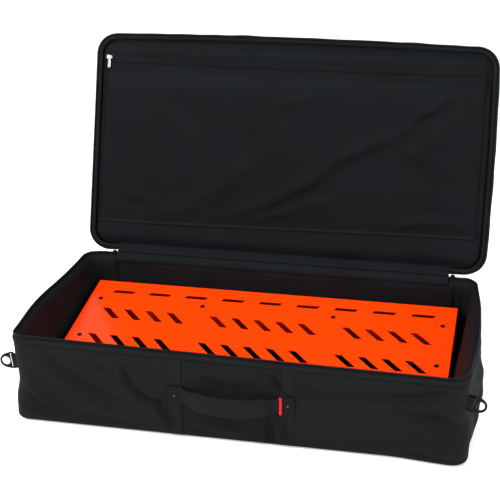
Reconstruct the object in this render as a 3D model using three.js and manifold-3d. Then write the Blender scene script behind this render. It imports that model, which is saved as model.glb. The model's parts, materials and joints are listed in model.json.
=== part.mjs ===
// A slotted sheet-metal pedalboard standing in its soft, padded carry case, with the zipped lid up.
// Millimetres. +X is to the right, +Y to the back (the hinge side), +Z up.
// The origin is the centre of the case's underside.

import * as THREE from 'three';
import { mergeVertices } from 'three/addons/utils/BufferGeometryUtils.js';
import Module from 'manifold-3d';

const wasm = await Module();
wasm.setup();

// ---------------------------------------------------------------- driving dimensions

const GAP = 0.3;               // between pieces that touch
const CASE_W = 888;            // case walls, outside
const CASE_D = 474;
const CASE_R = 36;             // vertical corners, outside
const RIM_W = 898;             // the bound rim and its zipper spread wider than the walls
const RIM_R = 41;
const SKIN = 1.5;              // outer fabric
const FOAM = 12;               // wall padding
const LINING = 1.5;            // inner fabric
const WALL_TOP = 174;          // top of the padded wall, under its binding
const RIM_TOP = 176;           // top of the binding
const ZIP_Z = 186;             // where the two halves of the zipper meet: the lid's hinge line

const BOTTOM = 2;              // bottom fabric panel
const STIFFENER = 3;           // board in the bottom
const STIFFENER_INSET = 4;
const FLOOR_FOAM = 6;

const TAPE = 1.2;              // zipper tape thickness
const ZIP_END_X = 372;         // the zipper stops here, on the rear wall, and the hinge strip begins
const HINGE_STRIP = 3;

const LID_W = 898;
const LID_D = 487;
const LID_R = 46;
const LID_H = 32;
const LID_PANEL = 1.8;
const LID_LEAN = 17;           // degrees past upright, at rest
const HINGE_Y = CASE_D / 2 + 3;
const LID_BORDER = 16;         // width of the bound border inside the lid
const LID_ZIP_END_X = 400;      // the lid's zipper stops here, short of its rear corners
const TAPE_TOP = 10;           // the lid's zipper tape, above the hinge line
const BORDER_Z = [TAPE_TOP + GAP, 12.3];
const POCKET_Z = [12.6, 13.8];
const LINING_Z = [14.3, 15.7];

const POCKET_INSET = 19;       // pocket panel, from the lid's edge
const POCKET_Y = [-427, -68];  // along the lid, from the hinge
const POCKET_ZIP_Y = [-450, POCKET_Y[0] - GAP];
const POCKET_ZIP_X = 425;
const POCKET_SLIDER = { x: -421, y: [-445, -435], w: 12, z: 8.3 };
const POCKET_PULLER = { x: -420, y: [-442, -416], w: 7, z: [6.3, 7.8], eyeY: [-440.5, -437.5], eyeW: 4 };

const SLIDER = { x: ZIP_END_X + 12, w: 14, deep: 5, z: [178.5, 187] };   // main zipper's sliders
const PULLER = { w: 9, thick: 1.6, clear: 0.9, z: [150, 184], eyeW: 5, eyeZ: [178.6, 182.6] };

const BOARD_X = -5.8;          // the board stands a little left of the case's middle
const BOARD_W = 812.8;         // a 32 by 17 inch deck
const BOARD_D = 431.8;
const SHEET = 2.5;             // sheet metal
const BOARD_REAR = { y: 211.6, z: 124.5 };   // the deck's rear top edge
const TILT = 0.145;            // radians, down towards the front
const LEG_BOTTOM = 21.7;
const LEG_X = [368, 400.5];    // from the flange's inner edge to the leg's outer face
const RIB_X = 145.4;
const RIB_W = 30;
const RIB_H = 24;
const RIB_V = [62, 410];       // distances from the deck's rear edge
const PANEL_X = 403;           // half width of the front and rear panels

const SCREW_R = 2;
const SCREW_HOLE_R = 2.4;
const SCREW_X = 380;
const SCREW_V = [80.6, 228.8, 377];
const RIB_SCREW_V = [80.6, 377];

const FOOT = { r: 10, h: 7.7, x: 384, y: 190 };

const STRAP = { x: [98, 126], thick: 1.2 };   // webbing up the front wall
const HANDLE = { z: 92, h: 38, half: 94, clear: 5.5, proud: 36, pad: 12, end: 3, neck: 14, flare: [6, 22] };
const TAB = { x: [96, 124], thick: 2 };
const RIVET_R = 1.6;

// Strap rings: the bar's centre, half the bar's length, and each ring's droop in degrees.
const RING = { x: 454, y: -207, z: 118.5, half: 18, reach: 29.5, thick: 2.5, bar: 3.5,
  droop: { left: 9, right: 18 } };
const RING_SLOT = { w: 5, half: 14.5 };
const RING_EYE = { x: 18, rx: 9, rz: 10.5 };
const RING_LOOP = { half: 13, inner: 3.1, thick: 1.5 };

// ---------------------------------------------------------------- materials

function material(color, roughness, metalness = 0) {
  return new THREE.MeshStandardMaterial({ color, roughness, metalness });
}

const nylon = material(0x1b1c1f, 0.85);
const liningCloth = material(0x202125, 0.8);
const foam = material(0x3a3a3c, 0.95);
const webbing = material(0x151618, 0.7);
const binding = material(0x121315, 0.75);
const zipTape = material(0x17181a, 0.7);
const stiffBoard = material(0x4a3b2a, 0.9);
const orangePaint = material(0xff4a08, 0.3, 0.2);
const blackSteel = material(0x141414, 0.45, 0.7);
const brightSteel = material(0xb9bcc0, 0.3, 0.9);
const rubber = material(0x101010, 0.9);
const redRibbon = material(0xc4151c, 0.6);

// ---------------------------------------------------------------- solids

function toManifold(geometry) {
  const plain = geometry.clone();
  plain.deleteAttribute('normal');
  plain.deleteAttribute('uv');
  const merged = mergeVertices(plain, 1e-4);
  return new wasm.Manifold(new wasm.Mesh({
    numProp: 3,
    vertProperties: new Float32Array(merged.attributes.position.array),
    triVerts: new Uint32Array(merged.index.array),
  }));
}

function toGeometry(solid) {
  const mesh = solid.getMesh();
  const geometry = new THREE.BufferGeometry();
  geometry.setAttribute('position', new THREE.BufferAttribute(mesh.vertProperties, 3));
  geometry.setIndex(new THREE.BufferAttribute(mesh.triVerts, 1));
  geometry.computeVertexNormals();
  return geometry;
}

function join(first, ...rest) {
  return toGeometry(rest.reduce((solid, piece) => solid.add(toManifold(piece)), toManifold(first)));
}

function cut(first, ...rest) {
  return toGeometry(rest.reduce((solid, piece) => solid.subtract(toManifold(piece)), toManifold(first)));
}

function common(first, second) {
  return toGeometry(toManifold(first).intersect(toManifold(second)));
}

// The same span on the left (-1) or the right (+1), in rising order.
function span(sign, a, b) {
  return sign < 0 ? [-b, -a] : [a, b];
}

function about(centre, width) {
  return [centre - width / 2, centre + width / 2];
}

function box([x0, x1], [y0, y1], [z0, z1]) {
  const geometry = new THREE.BoxGeometry(x1 - x0, y1 - y0, z1 - z0);
  return geometry.translate((x0 + x1) / 2, (y0 + y1) / 2, (z0 + z1) / 2);
}

function roundedOutline(width, depth, radius, centreY, Type) {
  const x = width / 2;
  const y = depth / 2;
  const path = new Type();
  path.moveTo(x - radius, centreY - y);
  path.absarc(x - radius, centreY - y + radius, radius, -Math.PI / 2, 0);
  path.absarc(x - radius, centreY + y - radius, radius, 0, Math.PI / 2);
  path.absarc(-x + radius, centreY + y - radius, radius, Math.PI / 2, Math.PI);
  path.absarc(-x + radius, centreY - y + radius, radius, Math.PI, 1.5 * Math.PI);
  path.closePath();
  return path;
}

// A plan is the rounded rectangle of the walls, the rim or the lid; its outline can be set in from the edge.
const basePlan = { width: CASE_W, depth: CASE_D, radius: CASE_R, centreY: 0 };
const rimPlan = { width: RIM_W, depth: CASE_D, radius: RIM_R, centreY: 0 };
const lidPlan = { width: LID_W, depth: LID_D, radius: LID_R, centreY: CASE_D / 2 - HINGE_Y - LID_D / 2 };

function outline(plan, inset, Type = THREE.Shape) {
  const { width, depth, radius, centreY } = plan;
  return roundedOutline(width - 2 * inset, depth - 2 * inset, radius - inset, centreY, Type);
}

function extrude(shape, [z0, z1]) {
  const options = { depth: z1 - z0, bevelEnabled: false, curveSegments: 6 };
  return new THREE.ExtrudeGeometry(shape, options).translate(0, 0, z0);
}

function slab(plan, inset, z) {
  return extrude(outline(plan, inset), z);
}

function ring(plan, [insetOut, insetIn], z) {
  const shape = outline(plan, insetOut);
  shape.holes.push(outline(plan, insetIn, THREE.Path));
  return extrude(shape, z);
}

function polygon(points, Type = THREE.Shape) {
  return new Type(points.map(([x, y]) => new THREE.Vector2(x, y)));
}

// Extrudes a profile drawn in (y, z) from x0 to x1.
function alongX(points, [x0, x1]) {
  const basis = new THREE.Matrix4().makeBasis(
    new THREE.Vector3(0, 1, 0), new THREE.Vector3(0, 0, 1), new THREE.Vector3(1, 0, 0));
  return extrude(polygon(points), [x0, x1]).applyMatrix4(basis);
}

function addMesh(parent, name, geometry, look) {
  const mesh = new THREE.Mesh(geometry, look);
  mesh.name = name;
  parent.add(mesh);
}

const SIDES = [['left', -1], ['right', 1]];

// ---------------------------------------------------------------- case base

const skinIn = SKIN;
const foamOut = SKIN + GAP;
const foamIn = foamOut + FOAM;
const liningOut = foamIn + GAP;
const liningIn = liningOut + LINING;
const stiffenerZ = [BOTTOM + GAP, BOTTOM + GAP + STIFFENER];
const floorFoamZ = [stiffenerZ[1] + GAP, stiffenerZ[1] + GAP + FLOOR_FOAM];
const floorLiningZ = [floorFoamZ[1] + GAP, floorFoamZ[1] + GAP + LINING];

function baseLining() {
  const walls = ring(basePlan, [liningOut, liningIn], [floorLiningZ[0], WALL_TOP]);
  return join(walls, slab(basePlan, liningOut, floorLiningZ));
}

function addBaseShell(base) {
  addMesh(base, 'bottom_panel', slab(basePlan, 0, [0, BOTTOM]), nylon);
  addMesh(base, 'bottom_stiffener', slab(basePlan, STIFFENER_INSET, stiffenerZ), stiffBoard);
  addMesh(base, 'floor_foam', slab(basePlan, liningOut, floorFoamZ), foam);
  addMesh(base, 'side_fabric', ring(basePlan, [0, skinIn], [BOTTOM + GAP, WALL_TOP]), nylon);
  addMesh(base, 'base_lining', baseLining(), liningCloth);
  const rim = outline(rimPlan, 0);
  rim.holes.push(outline(basePlan, liningIn, THREE.Path));
  addMesh(base, 'rim_binding', extrude(rim, [WALL_TOP + GAP, RIM_TOP]), binding);
}

// The long walls have straight pads. Each end wall's pad bends round its two corners.
function addWallFoam(base) {
  const straight = CASE_W / 2 - CASE_R;
  const z = [floorFoamZ[0], WALL_TOP - GAP];
  const y = [-CASE_D / 2 + foamOut, -CASE_D / 2 + foamIn];
  addMesh(base, 'front_wall_foam', box([-straight, straight], y, z), foam);
  addMesh(base, 'rear_wall_foam', box([-straight, straight], [-y[1], -y[0]], z), foam);
  const padRing = ring(basePlan, [foamOut, foamIn], z);
  for (const [side, sign] of SIDES) {
    const end = box(span(sign, straight + GAP, CASE_W), [-CASE_D, CASE_D], [0, ZIP_Z]);
    addMesh(base, `${side}_wall_foam`, common(padRing, end), foam);
  }
}

function addBaseZipper(base) {
  const z = [RIM_TOP + GAP, ZIP_Z - GAP];
  const tape = ring(rimPlan, [GAP, GAP + TAPE], z);
  const rearGap = box([-ZIP_END_X, ZIP_END_X], [CASE_D / 4, CASE_D], [0, 2 * ZIP_Z]);
  addMesh(base, 'base_zipper_tape', cut(tape, rearGap), zipTape);
  const rear = CASE_D / 2 - GAP;
  const half = ZIP_END_X - GAP;
  addMesh(base, 'base_hinge_strip', box([-half, half], [rear - HINGE_STRIP, rear], z), nylon);
}

// ---------------------------------------------------------------- lid, drawn closed about its hinge line

function addLidShell(lid) {
  const panelZ = LID_H - LID_PANEL;
  addMesh(lid, 'lid_outer_panel', slab(lidPlan, 0, [panelZ, LID_H]), nylon);
  addMesh(lid, 'lid_gusset', ring(lidPlan, [0, SKIN], [BORDER_Z[1] + GAP, panelZ - GAP]), nylon);
  addMesh(lid, 'lid_foam', slab(lidPlan, foamOut, [LINING_Z[1] + GAP, panelZ - GAP]), foam);
  addMesh(lid, 'lid_lining', slab(lidPlan, foamOut, LINING_Z), liningCloth);
  addMesh(lid, 'lid_border', ring(lidPlan, [0, LID_BORDER], BORDER_Z), binding);
}

function addLidZipper(lid) {
  const z = [GAP, TAPE_TOP];
  const tape = ring(lidPlan, [GAP, GAP + TAPE], z);
  const rearGap = box([-LID_ZIP_END_X, LID_ZIP_END_X], [-LID_D / 4, LID_D], [-LID_H, LID_H]);
  addMesh(lid, 'lid_zipper_tape', cut(tape, rearGap), zipTape);
  const rear = CASE_D / 2 - HINGE_Y - GAP;
  const half = ZIP_END_X - GAP;
  addMesh(lid, 'lid_hinge_strip', box([-half, half], [rear - HINGE_STRIP, rear], z), nylon);
}

function addPocket(lid) {
  const half = LID_W / 2 - POCKET_INSET;
  addMesh(lid, 'pocket_panel', box([-half, half], POCKET_Y, POCKET_Z), liningCloth);
  const zipX = [-POCKET_ZIP_X, POCKET_ZIP_X];
  addMesh(lid, 'pocket_zipper_tape', box(zipX, POCKET_ZIP_Y, POCKET_Z), zipTape);
  const slider = POCKET_SLIDER;
  const sliderZ = [slider.z, POCKET_Z[0] - GAP];
  addMesh(lid, 'pocket_slider', box(about(slider.x, slider.w), slider.y, sliderZ), brightSteel);
  const puller = POCKET_PULLER;
  const plate = box(about(puller.x, puller.w), puller.y, puller.z);
  const eye = box(about(puller.x, puller.eyeW), puller.eyeY, [0, LID_H]);
  addMesh(lid, 'pocket_puller', cut(plate, eye), brightSteel);
}

// ---------------------------------------------------------------- main zipper sliders, strap rings

function addMainSliders(base) {
  const sliderY = [CASE_D / 2 + GAP, CASE_D / 2 + GAP + SLIDER.deep];
  const pullerY = [sliderY[1] + PULLER.clear, sliderY[1] + PULLER.clear + PULLER.thick];
  for (const [side, sign] of SIDES) {
    const x = sign * SLIDER.x;
    addMesh(base, `${side}_zip_slider`, box(about(x, SLIDER.w), sliderY, SLIDER.z), blackSteel);
    const plate = box(about(x, PULLER.w), pullerY, PULLER.z);
    const eye = box(about(x, PULLER.eyeW), [0, CASE_D], PULLER.eyeZ);
    addMesh(base, `${side}_zip_puller`, cut(plate, eye), blackSteel);
  }
}

// Turns a piece drawn about a ring's bar, pointing to +X, to its side and droop.
function hang(geometry, side, sign) {
  if (sign < 0) geometry.rotateZ(Math.PI);
  geometry.rotateY(sign * THREE.MathUtils.degToRad(RING.droop[side]));
  return geometry.translate(sign * RING.x, RING.y, RING.z);
}

// A rounded-triangle plate: a straight bar at the webbing, a slot beside it and an eye at the tip.
function ringPlate() {
  const { half, reach, thick, bar } = RING;
  const shoulder = bar / 2 + RING_SLOT.w - 1.75;
  const shape = new THREE.Shape();
  shape.moveTo(-bar / 2, -half);
  shape.lineTo(shoulder, -half);
  shape.quadraticCurveTo(reach, -0.72 * half, reach, 0);
  shape.quadraticCurveTo(reach, 0.72 * half, shoulder, half);
  shape.lineTo(-bar / 2, half);
  shape.closePath();
  const x = [bar / 2, bar / 2 + RING_SLOT.w];
  const z = RING_SLOT.half;
  shape.holes.push(polygon([[x[0], -z], [x[1], -z], [x[1], z], [x[0], z]], THREE.Path));
  const eye = new THREE.Path();
  eye.absellipse(RING_EYE.x, 0, RING_EYE.rx, RING_EYE.rz, 0, 2 * Math.PI);
  shape.holes.push(eye);
  return extrude(shape, [-thick / 2, thick / 2]).rotateX(Math.PI / 2);
}

// Webbing folded round the ring's bar, drawn in plan with the bar at its centre, and open at the wall.
function ringLoop() {
  const { half, inner, thick } = RING_LOOP;
  const outer = inner + thick;
  const back = CASE_W / 2 - RING.x - half;
  const shape = new THREE.Shape();
  shape.moveTo(back, -outer);
  shape.absarc(0, 0, outer, -Math.PI / 2, Math.PI / 2);
  shape.lineTo(back, outer);
  shape.lineTo(back, inner);
  shape.absarc(0, 0, inner, Math.PI / 2, -Math.PI / 2, true);
  shape.lineTo(back, -inner);
  shape.closePath();
  return extrude(shape, [-half, half]);
}

function addStrapRings(base) {
  for (const [side, sign] of SIDES) {
    const outside = box(span(sign, CASE_W / 2 + GAP, CASE_W), [-CASE_D, 0], [0, ZIP_Z]);
    const loop = common(hang(ringLoop(), side, sign), outside);
    addMesh(base, `${side}_ring_loop`, loop, webbing);
    addMesh(base, `${side}_ring`, hang(ringPlate(), side, sign), blackSteel);
  }
}

// ---------------------------------------------------------------- handle and front webbing

// A band bowed out from the front wall, thickest in the middle, with ends that taper towards the tabs.
function handleGrip() {
  const wall = -CASE_D / 2 - HANDLE.clear;
  const { half, proud, pad, h, end, neck, flare } = HANDLE;
  const innerBow = wall - 2 * (proud - pad - 4);
  const outerBow = wall - 2 * proud + 10;
  const shape = new THREE.Shape();
  shape.moveTo(-half, wall);
  shape.quadraticCurveTo(0, innerBow, half, wall);
  shape.lineTo(half, wall - end);
  shape.quadraticCurveTo(0, outerBow, -half, wall - end);
  shape.closePath();
  const band = extrude(shape, [-h / 2, h / 2]);
  const corner = [[half + 1, neck / 2], [half - flare[0], neck / 2], [half - flare[1], h / 2 + 1]];
  const mirror = (points, sx, sz) => points.map(([x, z]) => [sx * x, sz * z]);
  const face = polygon([...corner, ...mirror(corner, -1, 1).reverse(),
    ...mirror(corner, -1, -1), ...mirror(corner, 1, -1).reverse()]);
  const front = extrude(face, [0, CASE_D]).rotateX(Math.PI / 2);
  return common(band, front).translate(0, 0, HANDLE.z);
}

// `grip` is what the rivet's shank passes through; its domed head lies outside that.
function rivet(x, back, grip) {
  const points = [[0, 0], [RIVET_R, 0], [RIVET_R, grip], [4, grip],
    [4, grip + 0.9], [2.6, grip + 2.1], [0, grip + 2.1]];
  const geometry = new THREE.LatheGeometry(points.map(([r, h]) => new THREE.Vector2(r, h)), 12);
  return geometry.rotateX(Math.PI).translate(x, back, HANDLE.z);
}

// The webbing, the handle's tabs and their rivets, from the wall outwards.
function addHandle(base) {
  const front = -CASE_D / 2;
  const strapY = [front - GAP - STRAP.thick, front - GAP];
  const tabY = [strapY[0] - GAP - TAB.thick, strapY[0] - GAP];
  const height = [HANDLE.z - HANDLE.h / 2, HANDLE.z + HANDLE.h / 2];
  for (const [side, sign] of SIDES) {
    const rivetX = sign * (TAB.x[0] + TAB.x[1]) / 2;
    const hole = new THREE.CylinderGeometry(RIVET_R + GAP, RIVET_R + GAP, 20, 12);
    hole.translate(rivetX, tabY[0], HANDLE.z);
    const strap = box(span(sign, ...STRAP.x), strapY, [4, WALL_TOP - 4]);
    addMesh(base, `${side}_front_strap`, cut(strap, hole), webbing);
    addMesh(base, `handle_${side}_tab`, cut(box(span(sign, ...TAB.x), tabY, height), hole), webbing);
    const back = front - 2 * GAP;
    addMesh(base, `handle_${side}_rivet`, rivet(rivetX, back, back - tabY[0] + GAP), brightSteel);
  }
  const redX = [TAB.x[0] + 0.8, TAB.x[0] + 6.5];
  addMesh(base, 'handle_red_tab', box(redX, [tabY[0] - GAP - TAPE, tabY[0] - GAP], height), redRibbon);
  addMesh(base, 'handle_grip', handleGrip(), webbing);
}

// ---------------------------------------------------------------- pedalboard

// A slot is a parallelogram: `lean` is how far its front edge is shifted along X from its rear edge.
function slot(x, v, width, height, lean) {
  const half = width / 2;
  const corners = [[-half - lean / 2, height / 2], [-half + lean / 2, -height / 2],
    [half + lean / 2, -height / 2], [half - lean / 2, height / 2]];
  return extrude(polygon(corners.map(([dx, dy]) => [x + dx, -v + dy])), [-2 * SHEET, SHEET]);
}

function deckSlots() {
  const slots = [];
  const longRow = { v: 45.4, count: 9, pitch: 84 };
  for (let i = 0; i < longRow.count; i += 1) {
    const x = (i - (longRow.count - 1) / 2) * longRow.pitch;
    slots.push(slot(x, longRow.v, 46, 10, -6));
  }
  const pitch = 48.47;
  const ribPlaces = [4, 10];
  for (const v of [134, 237.7, 341.4]) {
    for (let i = 0; i < 15; i += 1) {
      if (!ribPlaces.includes(i)) slots.push(slot((i - 7) * pitch, v, 15, 38, 34));
    }
  }
  return slots;
}

function screwPlaces() {
  const places = [];
  for (const [side, sign] of SIDES) {
    SCREW_V.forEach((v, i) => places.push([`${side}_end_screw_${i + 1}`, sign * SCREW_X, v]));
    RIB_SCREW_V.forEach((v, i) => places.push([`${side}_rib_screw_${i + 1}`, sign * RIB_X, v]));
  }
  return places;
}

function deckPlate() {
  const sheet = box([-BOARD_W / 2, BOARD_W / 2], [-BOARD_D, 0], [-SHEET, 0]);
  const holes = SIDES.flatMap(([, sign]) => [
    ...screwHoles(sign, SCREW_X, SCREW_V), ...screwHoles(sign, RIB_X, RIB_SCREW_V)]);
  return cut(sheet, ...deckSlots(), ...holes);
}

function screw(x, v) {
  const points = [[0, -9], [SCREW_R, -9], [SCREW_R, GAP], [4.75, GAP], [4.75, 1.4], [3.4, 2.9], [0, 2.9]];
  const geometry = new THREE.LatheGeometry(points.map(([r, h]) => new THREE.Vector2(r, h)), 12);
  return geometry.rotateX(Math.PI / 2).translate(x, -v, 0);
}

function screwHoles(sign, x, distances) {
  return distances.map((v) => {
    const hole = new THREE.CylinderGeometry(SCREW_HOLE_R, SCREW_HOLE_R, 30, 12);
    return hole.rotateX(Math.PI / 2).translate(sign * x, -v, 0);
  });
}

// A point of the upright (y, z) plane, in the tilted deck's own frame.
function toDeck(y, z) {
  const dy = y - BOARD_REAR.y;
  const dz = z - BOARD_REAR.z;
  return [dy * Math.cos(TILT) + dz * Math.sin(TILT), dz * Math.cos(TILT) - dy * Math.sin(TILT)];
}

// Height of the deck's underside, with the usual gap below it.
function deckUnderside(y) {
  return BOARD_REAR.z - (BOARD_REAR.y - y) * Math.tan(TILT) - (SHEET + GAP) / Math.cos(TILT);
}

const rearPanelY = [BOARD_REAR.y - 0.2 - SHEET, BOARD_REAR.y - 0.2];
const frontPanelY = BOARD_REAR.y - BOARD_D * Math.cos(TILT) + 2;

// A C-shaped sheet: a flange under the deck, an upright wedge and a level flange for the feet.
function endLeg(sign) {
  const rear = rearPanelY[0] - GAP;
  const front = frontPanelY + SHEET + GAP;
  const corners = (lowF, lowR, highR, highF) =>
    [toDeck(front, lowF), toDeck(rear, lowR), toDeck(rear, highR), toDeck(front, highF)];
  const topF = deckUnderside(front);
  const topR = deckUnderside(rear);
  const flange = alongX(corners(topF - SHEET, topR - SHEET, topR, topF), span(sign, ...LEG_X));
  const wedge = alongX(corners(LEG_BOTTOM, LEG_BOTTOM, topR, topF), span(sign, LEG_X[1] - SHEET, LEG_X[1]));
  const level = LEG_BOTTOM + SHEET;
  const foot = alongX(corners(LEG_BOTTOM, LEG_BOTTOM, level, level), span(sign, ...LEG_X));
  return cut(join(flange, wedge, foot), ...screwHoles(sign, SCREW_X, SCREW_V));
}

function rib(sign) {
  const top = -SHEET - GAP;
  const y = [-RIB_V[1], -RIB_V[0]];
  const x = [sign * RIB_X - RIB_W / 2, sign * RIB_X + RIB_W / 2];
  const flange = box(x, y, [top - SHEET, top]);
  const web = box([x[0], x[0] + SHEET], y, [top - RIB_H, top]);
  return cut(join(flange, web), ...screwHoles(sign, RIB_X, RIB_SCREW_V));
}

function addDeck(board) {
  const deck = new THREE.Group();
  deck.position.set(0, BOARD_REAR.y, BOARD_REAR.z);
  deck.rotation.x = TILT;
  board.add(deck);
  addMesh(deck, 'deck_plate', deckPlate(), orangePaint);
  for (const [side, sign] of SIDES) {
    addMesh(deck, `${side}_end_leg`, endLeg(sign), orangePaint);
    addMesh(deck, `${side}_rib`, rib(sign), orangePaint);
  }
  for (const [name, x, v] of screwPlaces()) {
    addMesh(deck, name, screw(x, v), blackSteel);
  }
}

function addPanelsAndFeet(board) {
  const x = [-PANEL_X, PANEL_X];
  const rearZ = [LEG_BOTTOM, deckUnderside(rearPanelY[0])];
  const frontZ = [LEG_BOTTOM, deckUnderside(frontPanelY)];
  addMesh(board, 'rear_panel', box(x, rearPanelY, rearZ), orangePaint);
  addMesh(board, 'front_panel', box(x, [frontPanelY, frontPanelY + SHEET], frontZ), orangePaint);
  for (const [side, sign] of SIDES) {
    for (const [end, y] of [['front', -FOOT.y], ['rear', FOOT.y]]) {
      const foot = new THREE.CylinderGeometry(FOOT.r, FOOT.r - 1.5, FOOT.h, 16).rotateX(Math.PI / 2);
      const z = LEG_BOTTOM - GAP - FOOT.h / 2;
      addMesh(board, `${side}_${end}_foot`, foot.translate(sign * FOOT.x, y, z), rubber);
    }
  }
}

// ---------------------------------------------------------------- assembly

const group = new THREE.Group();

const base = new THREE.Group();
addBaseShell(base);
addWallFoam(base);
addBaseZipper(base);
addMainSliders(base);
addStrapRings(base);
addHandle(base);
group.add(base);

const lid = new THREE.Group();
lid.position.set(0, HINGE_Y, ZIP_Z);
lid.rotation.x = THREE.MathUtils.degToRad(-90 - LID_LEAN);
addLidShell(lid);
addLidZipper(lid);
addPocket(lid);
group.add(lid);

const board = new THREE.Group();
board.position.set(BOARD_X, 0, 0);
addDeck(board);
addPanelsAndFeet(board);
group.add(board);

export default group;
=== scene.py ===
"""The looks of a slotted pedalboard in its open soft case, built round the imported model.

Shapes are worked out in millimetres in the model's own frame, and new_mesh() writes them in metres.
The lid is drawn closed about its hinge line, in (x, y, z) with y from 0 at the hinge to minus its length
and z from the zipper (0) to the lid's top, and lid_world() turns it to its open place.
"""

import json
import math

import bmesh
import bpy
import numpy as np
from mathutils import Euler, Matrix, Vector


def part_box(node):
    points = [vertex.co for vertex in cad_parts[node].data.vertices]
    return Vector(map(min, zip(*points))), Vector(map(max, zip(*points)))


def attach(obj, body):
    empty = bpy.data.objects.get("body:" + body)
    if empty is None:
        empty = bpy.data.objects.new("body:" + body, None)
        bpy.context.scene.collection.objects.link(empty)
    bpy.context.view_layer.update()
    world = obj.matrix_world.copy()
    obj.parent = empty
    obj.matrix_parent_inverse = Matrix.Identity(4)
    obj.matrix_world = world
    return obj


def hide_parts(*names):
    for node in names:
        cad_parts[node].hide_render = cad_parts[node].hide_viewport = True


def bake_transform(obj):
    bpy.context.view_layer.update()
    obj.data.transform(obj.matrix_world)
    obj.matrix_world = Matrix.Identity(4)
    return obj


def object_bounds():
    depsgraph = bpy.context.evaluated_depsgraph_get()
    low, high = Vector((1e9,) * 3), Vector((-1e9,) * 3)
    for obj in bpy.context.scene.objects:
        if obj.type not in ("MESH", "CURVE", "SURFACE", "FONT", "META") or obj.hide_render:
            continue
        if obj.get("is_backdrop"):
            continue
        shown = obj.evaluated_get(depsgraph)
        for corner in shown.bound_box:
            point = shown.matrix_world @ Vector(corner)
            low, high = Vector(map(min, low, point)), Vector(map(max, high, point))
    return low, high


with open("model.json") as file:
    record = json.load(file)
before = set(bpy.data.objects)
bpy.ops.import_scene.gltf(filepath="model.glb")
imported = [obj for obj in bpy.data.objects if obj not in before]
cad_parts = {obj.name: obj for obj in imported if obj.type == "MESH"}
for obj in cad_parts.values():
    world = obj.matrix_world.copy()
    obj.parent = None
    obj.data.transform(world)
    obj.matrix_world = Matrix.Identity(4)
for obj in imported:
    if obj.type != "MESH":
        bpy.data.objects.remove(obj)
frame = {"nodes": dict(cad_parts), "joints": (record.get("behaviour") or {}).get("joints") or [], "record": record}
cad_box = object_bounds()

MM = 0.001
SIDES = (("left", -1), ("right", 1))


def box_mm(node):
    low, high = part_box(node)
    return np.array(low) / MM, np.array(high) / MM


def joint(name):
    return next(j for j in frame["joints"] if j["name"] == name)


# ---------------------------------------------------------------- sizes, from the frame where it has them

WALL_LOW, WALL_HIGH = box_mm("side_fabric")
CASE_W, CASE_D = (WALL_HIGH - WALL_LOW)[:2]
RIM_FLARE = box_mm("rim_binding")[1][0] - WALL_HIGH[0]
CASE_R = 36.0
BINDING_Z = (167.0, 178.0)      # the rolled binding round the top of the walls
ZIP_TOP = box_mm("base_zipper_tape")[1][2]
HINGE_HALF = box_mm("base_hinge_strip")[1][0]
LINING_INSET = 15.6
FLOOR_Z = box_mm("base_lining")[0][2] + 1.5
LOOP_COUNT = 640                # points round each of the case's and the lid's rings

HINGE = np.array(joint("lid_hinge")["pos_m"]) / MM
LID_OPEN = math.radians(-joint("lid_hinge")["range_deg"][0])
LID_W = box_mm("lid_outer_panel")[1][0] * 2
LID_D = 487.0                   # the lid's length from the hinge to its far edge
LID_R = 46.0
LID_H = 32.0
LID_CENTRE_Y = CASE_D / 2 - HINGE[1] - LID_D / 2
LID_ZIP_HALF = 400.0

DECK_LOW, DECK_HIGH = box_mm("deck_plate")
TILT = 0.145                    # the deck's slope, in radians
SHEET = 2.5                     # thickness of its metal
BOARD_X = (DECK_LOW[0] + DECK_HIGH[0]) / 2
BOARD_W = DECK_HIGH[0] - DECK_LOW[0]
DECK_REAR = np.array([DECK_HIGH[1] - SHEET * math.sin(TILT), DECK_HIGH[2]])
LEG_BOTTOM = box_mm("rear_panel")[0][2]
BEND_R = 4.5                    # outer radius of the sheet's bends

HANDLE_Z = joint("handle_swing")["pos_m"][2] / MM
CLOTH = 1.4                     # thickness of the outer nylon
WEAVE = 0.9                     # spacing of its threads
STITCH = 3.2                    # length of a stitch
STITCH_GAP = 1.4
THREAD_R = 0.42


# ---------------------------------------------------------------- meshes

def link_object(name, data):
    obj = bpy.data.objects.new(name, data)
    bpy.context.scene.collection.objects.link(obj)
    return obj


def new_mesh(name, points, faces, uv=None):
    """A mesh object from points in millimetres; uv holds one pair for each corner of each face, in mm."""
    mesh = bpy.data.meshes.new(name)
    mesh.from_pydata((np.asarray(points, float) * MM).tolist(), [], faces)
    if uv is not None:
        layer = mesh.uv_layers.new(name="UVMap")
        layer.data.foreach_set("uv", (np.asarray(uv, float) * MM).ravel())
    mesh.polygons.foreach_set("use_smooth", [True] * len(mesh.polygons))
    mesh.update()
    return link_object(name, mesh)


def distances(points, axis):
    """Distance travelled along a grid of points in one direction, for its weave."""
    steps = np.linalg.norm(np.diff(points, axis=axis), axis=-1)
    start = np.zeros_like(np.take(steps, [0], axis=axis))
    return np.concatenate([start, np.cumsum(steps, axis=axis)], axis=axis)


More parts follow.
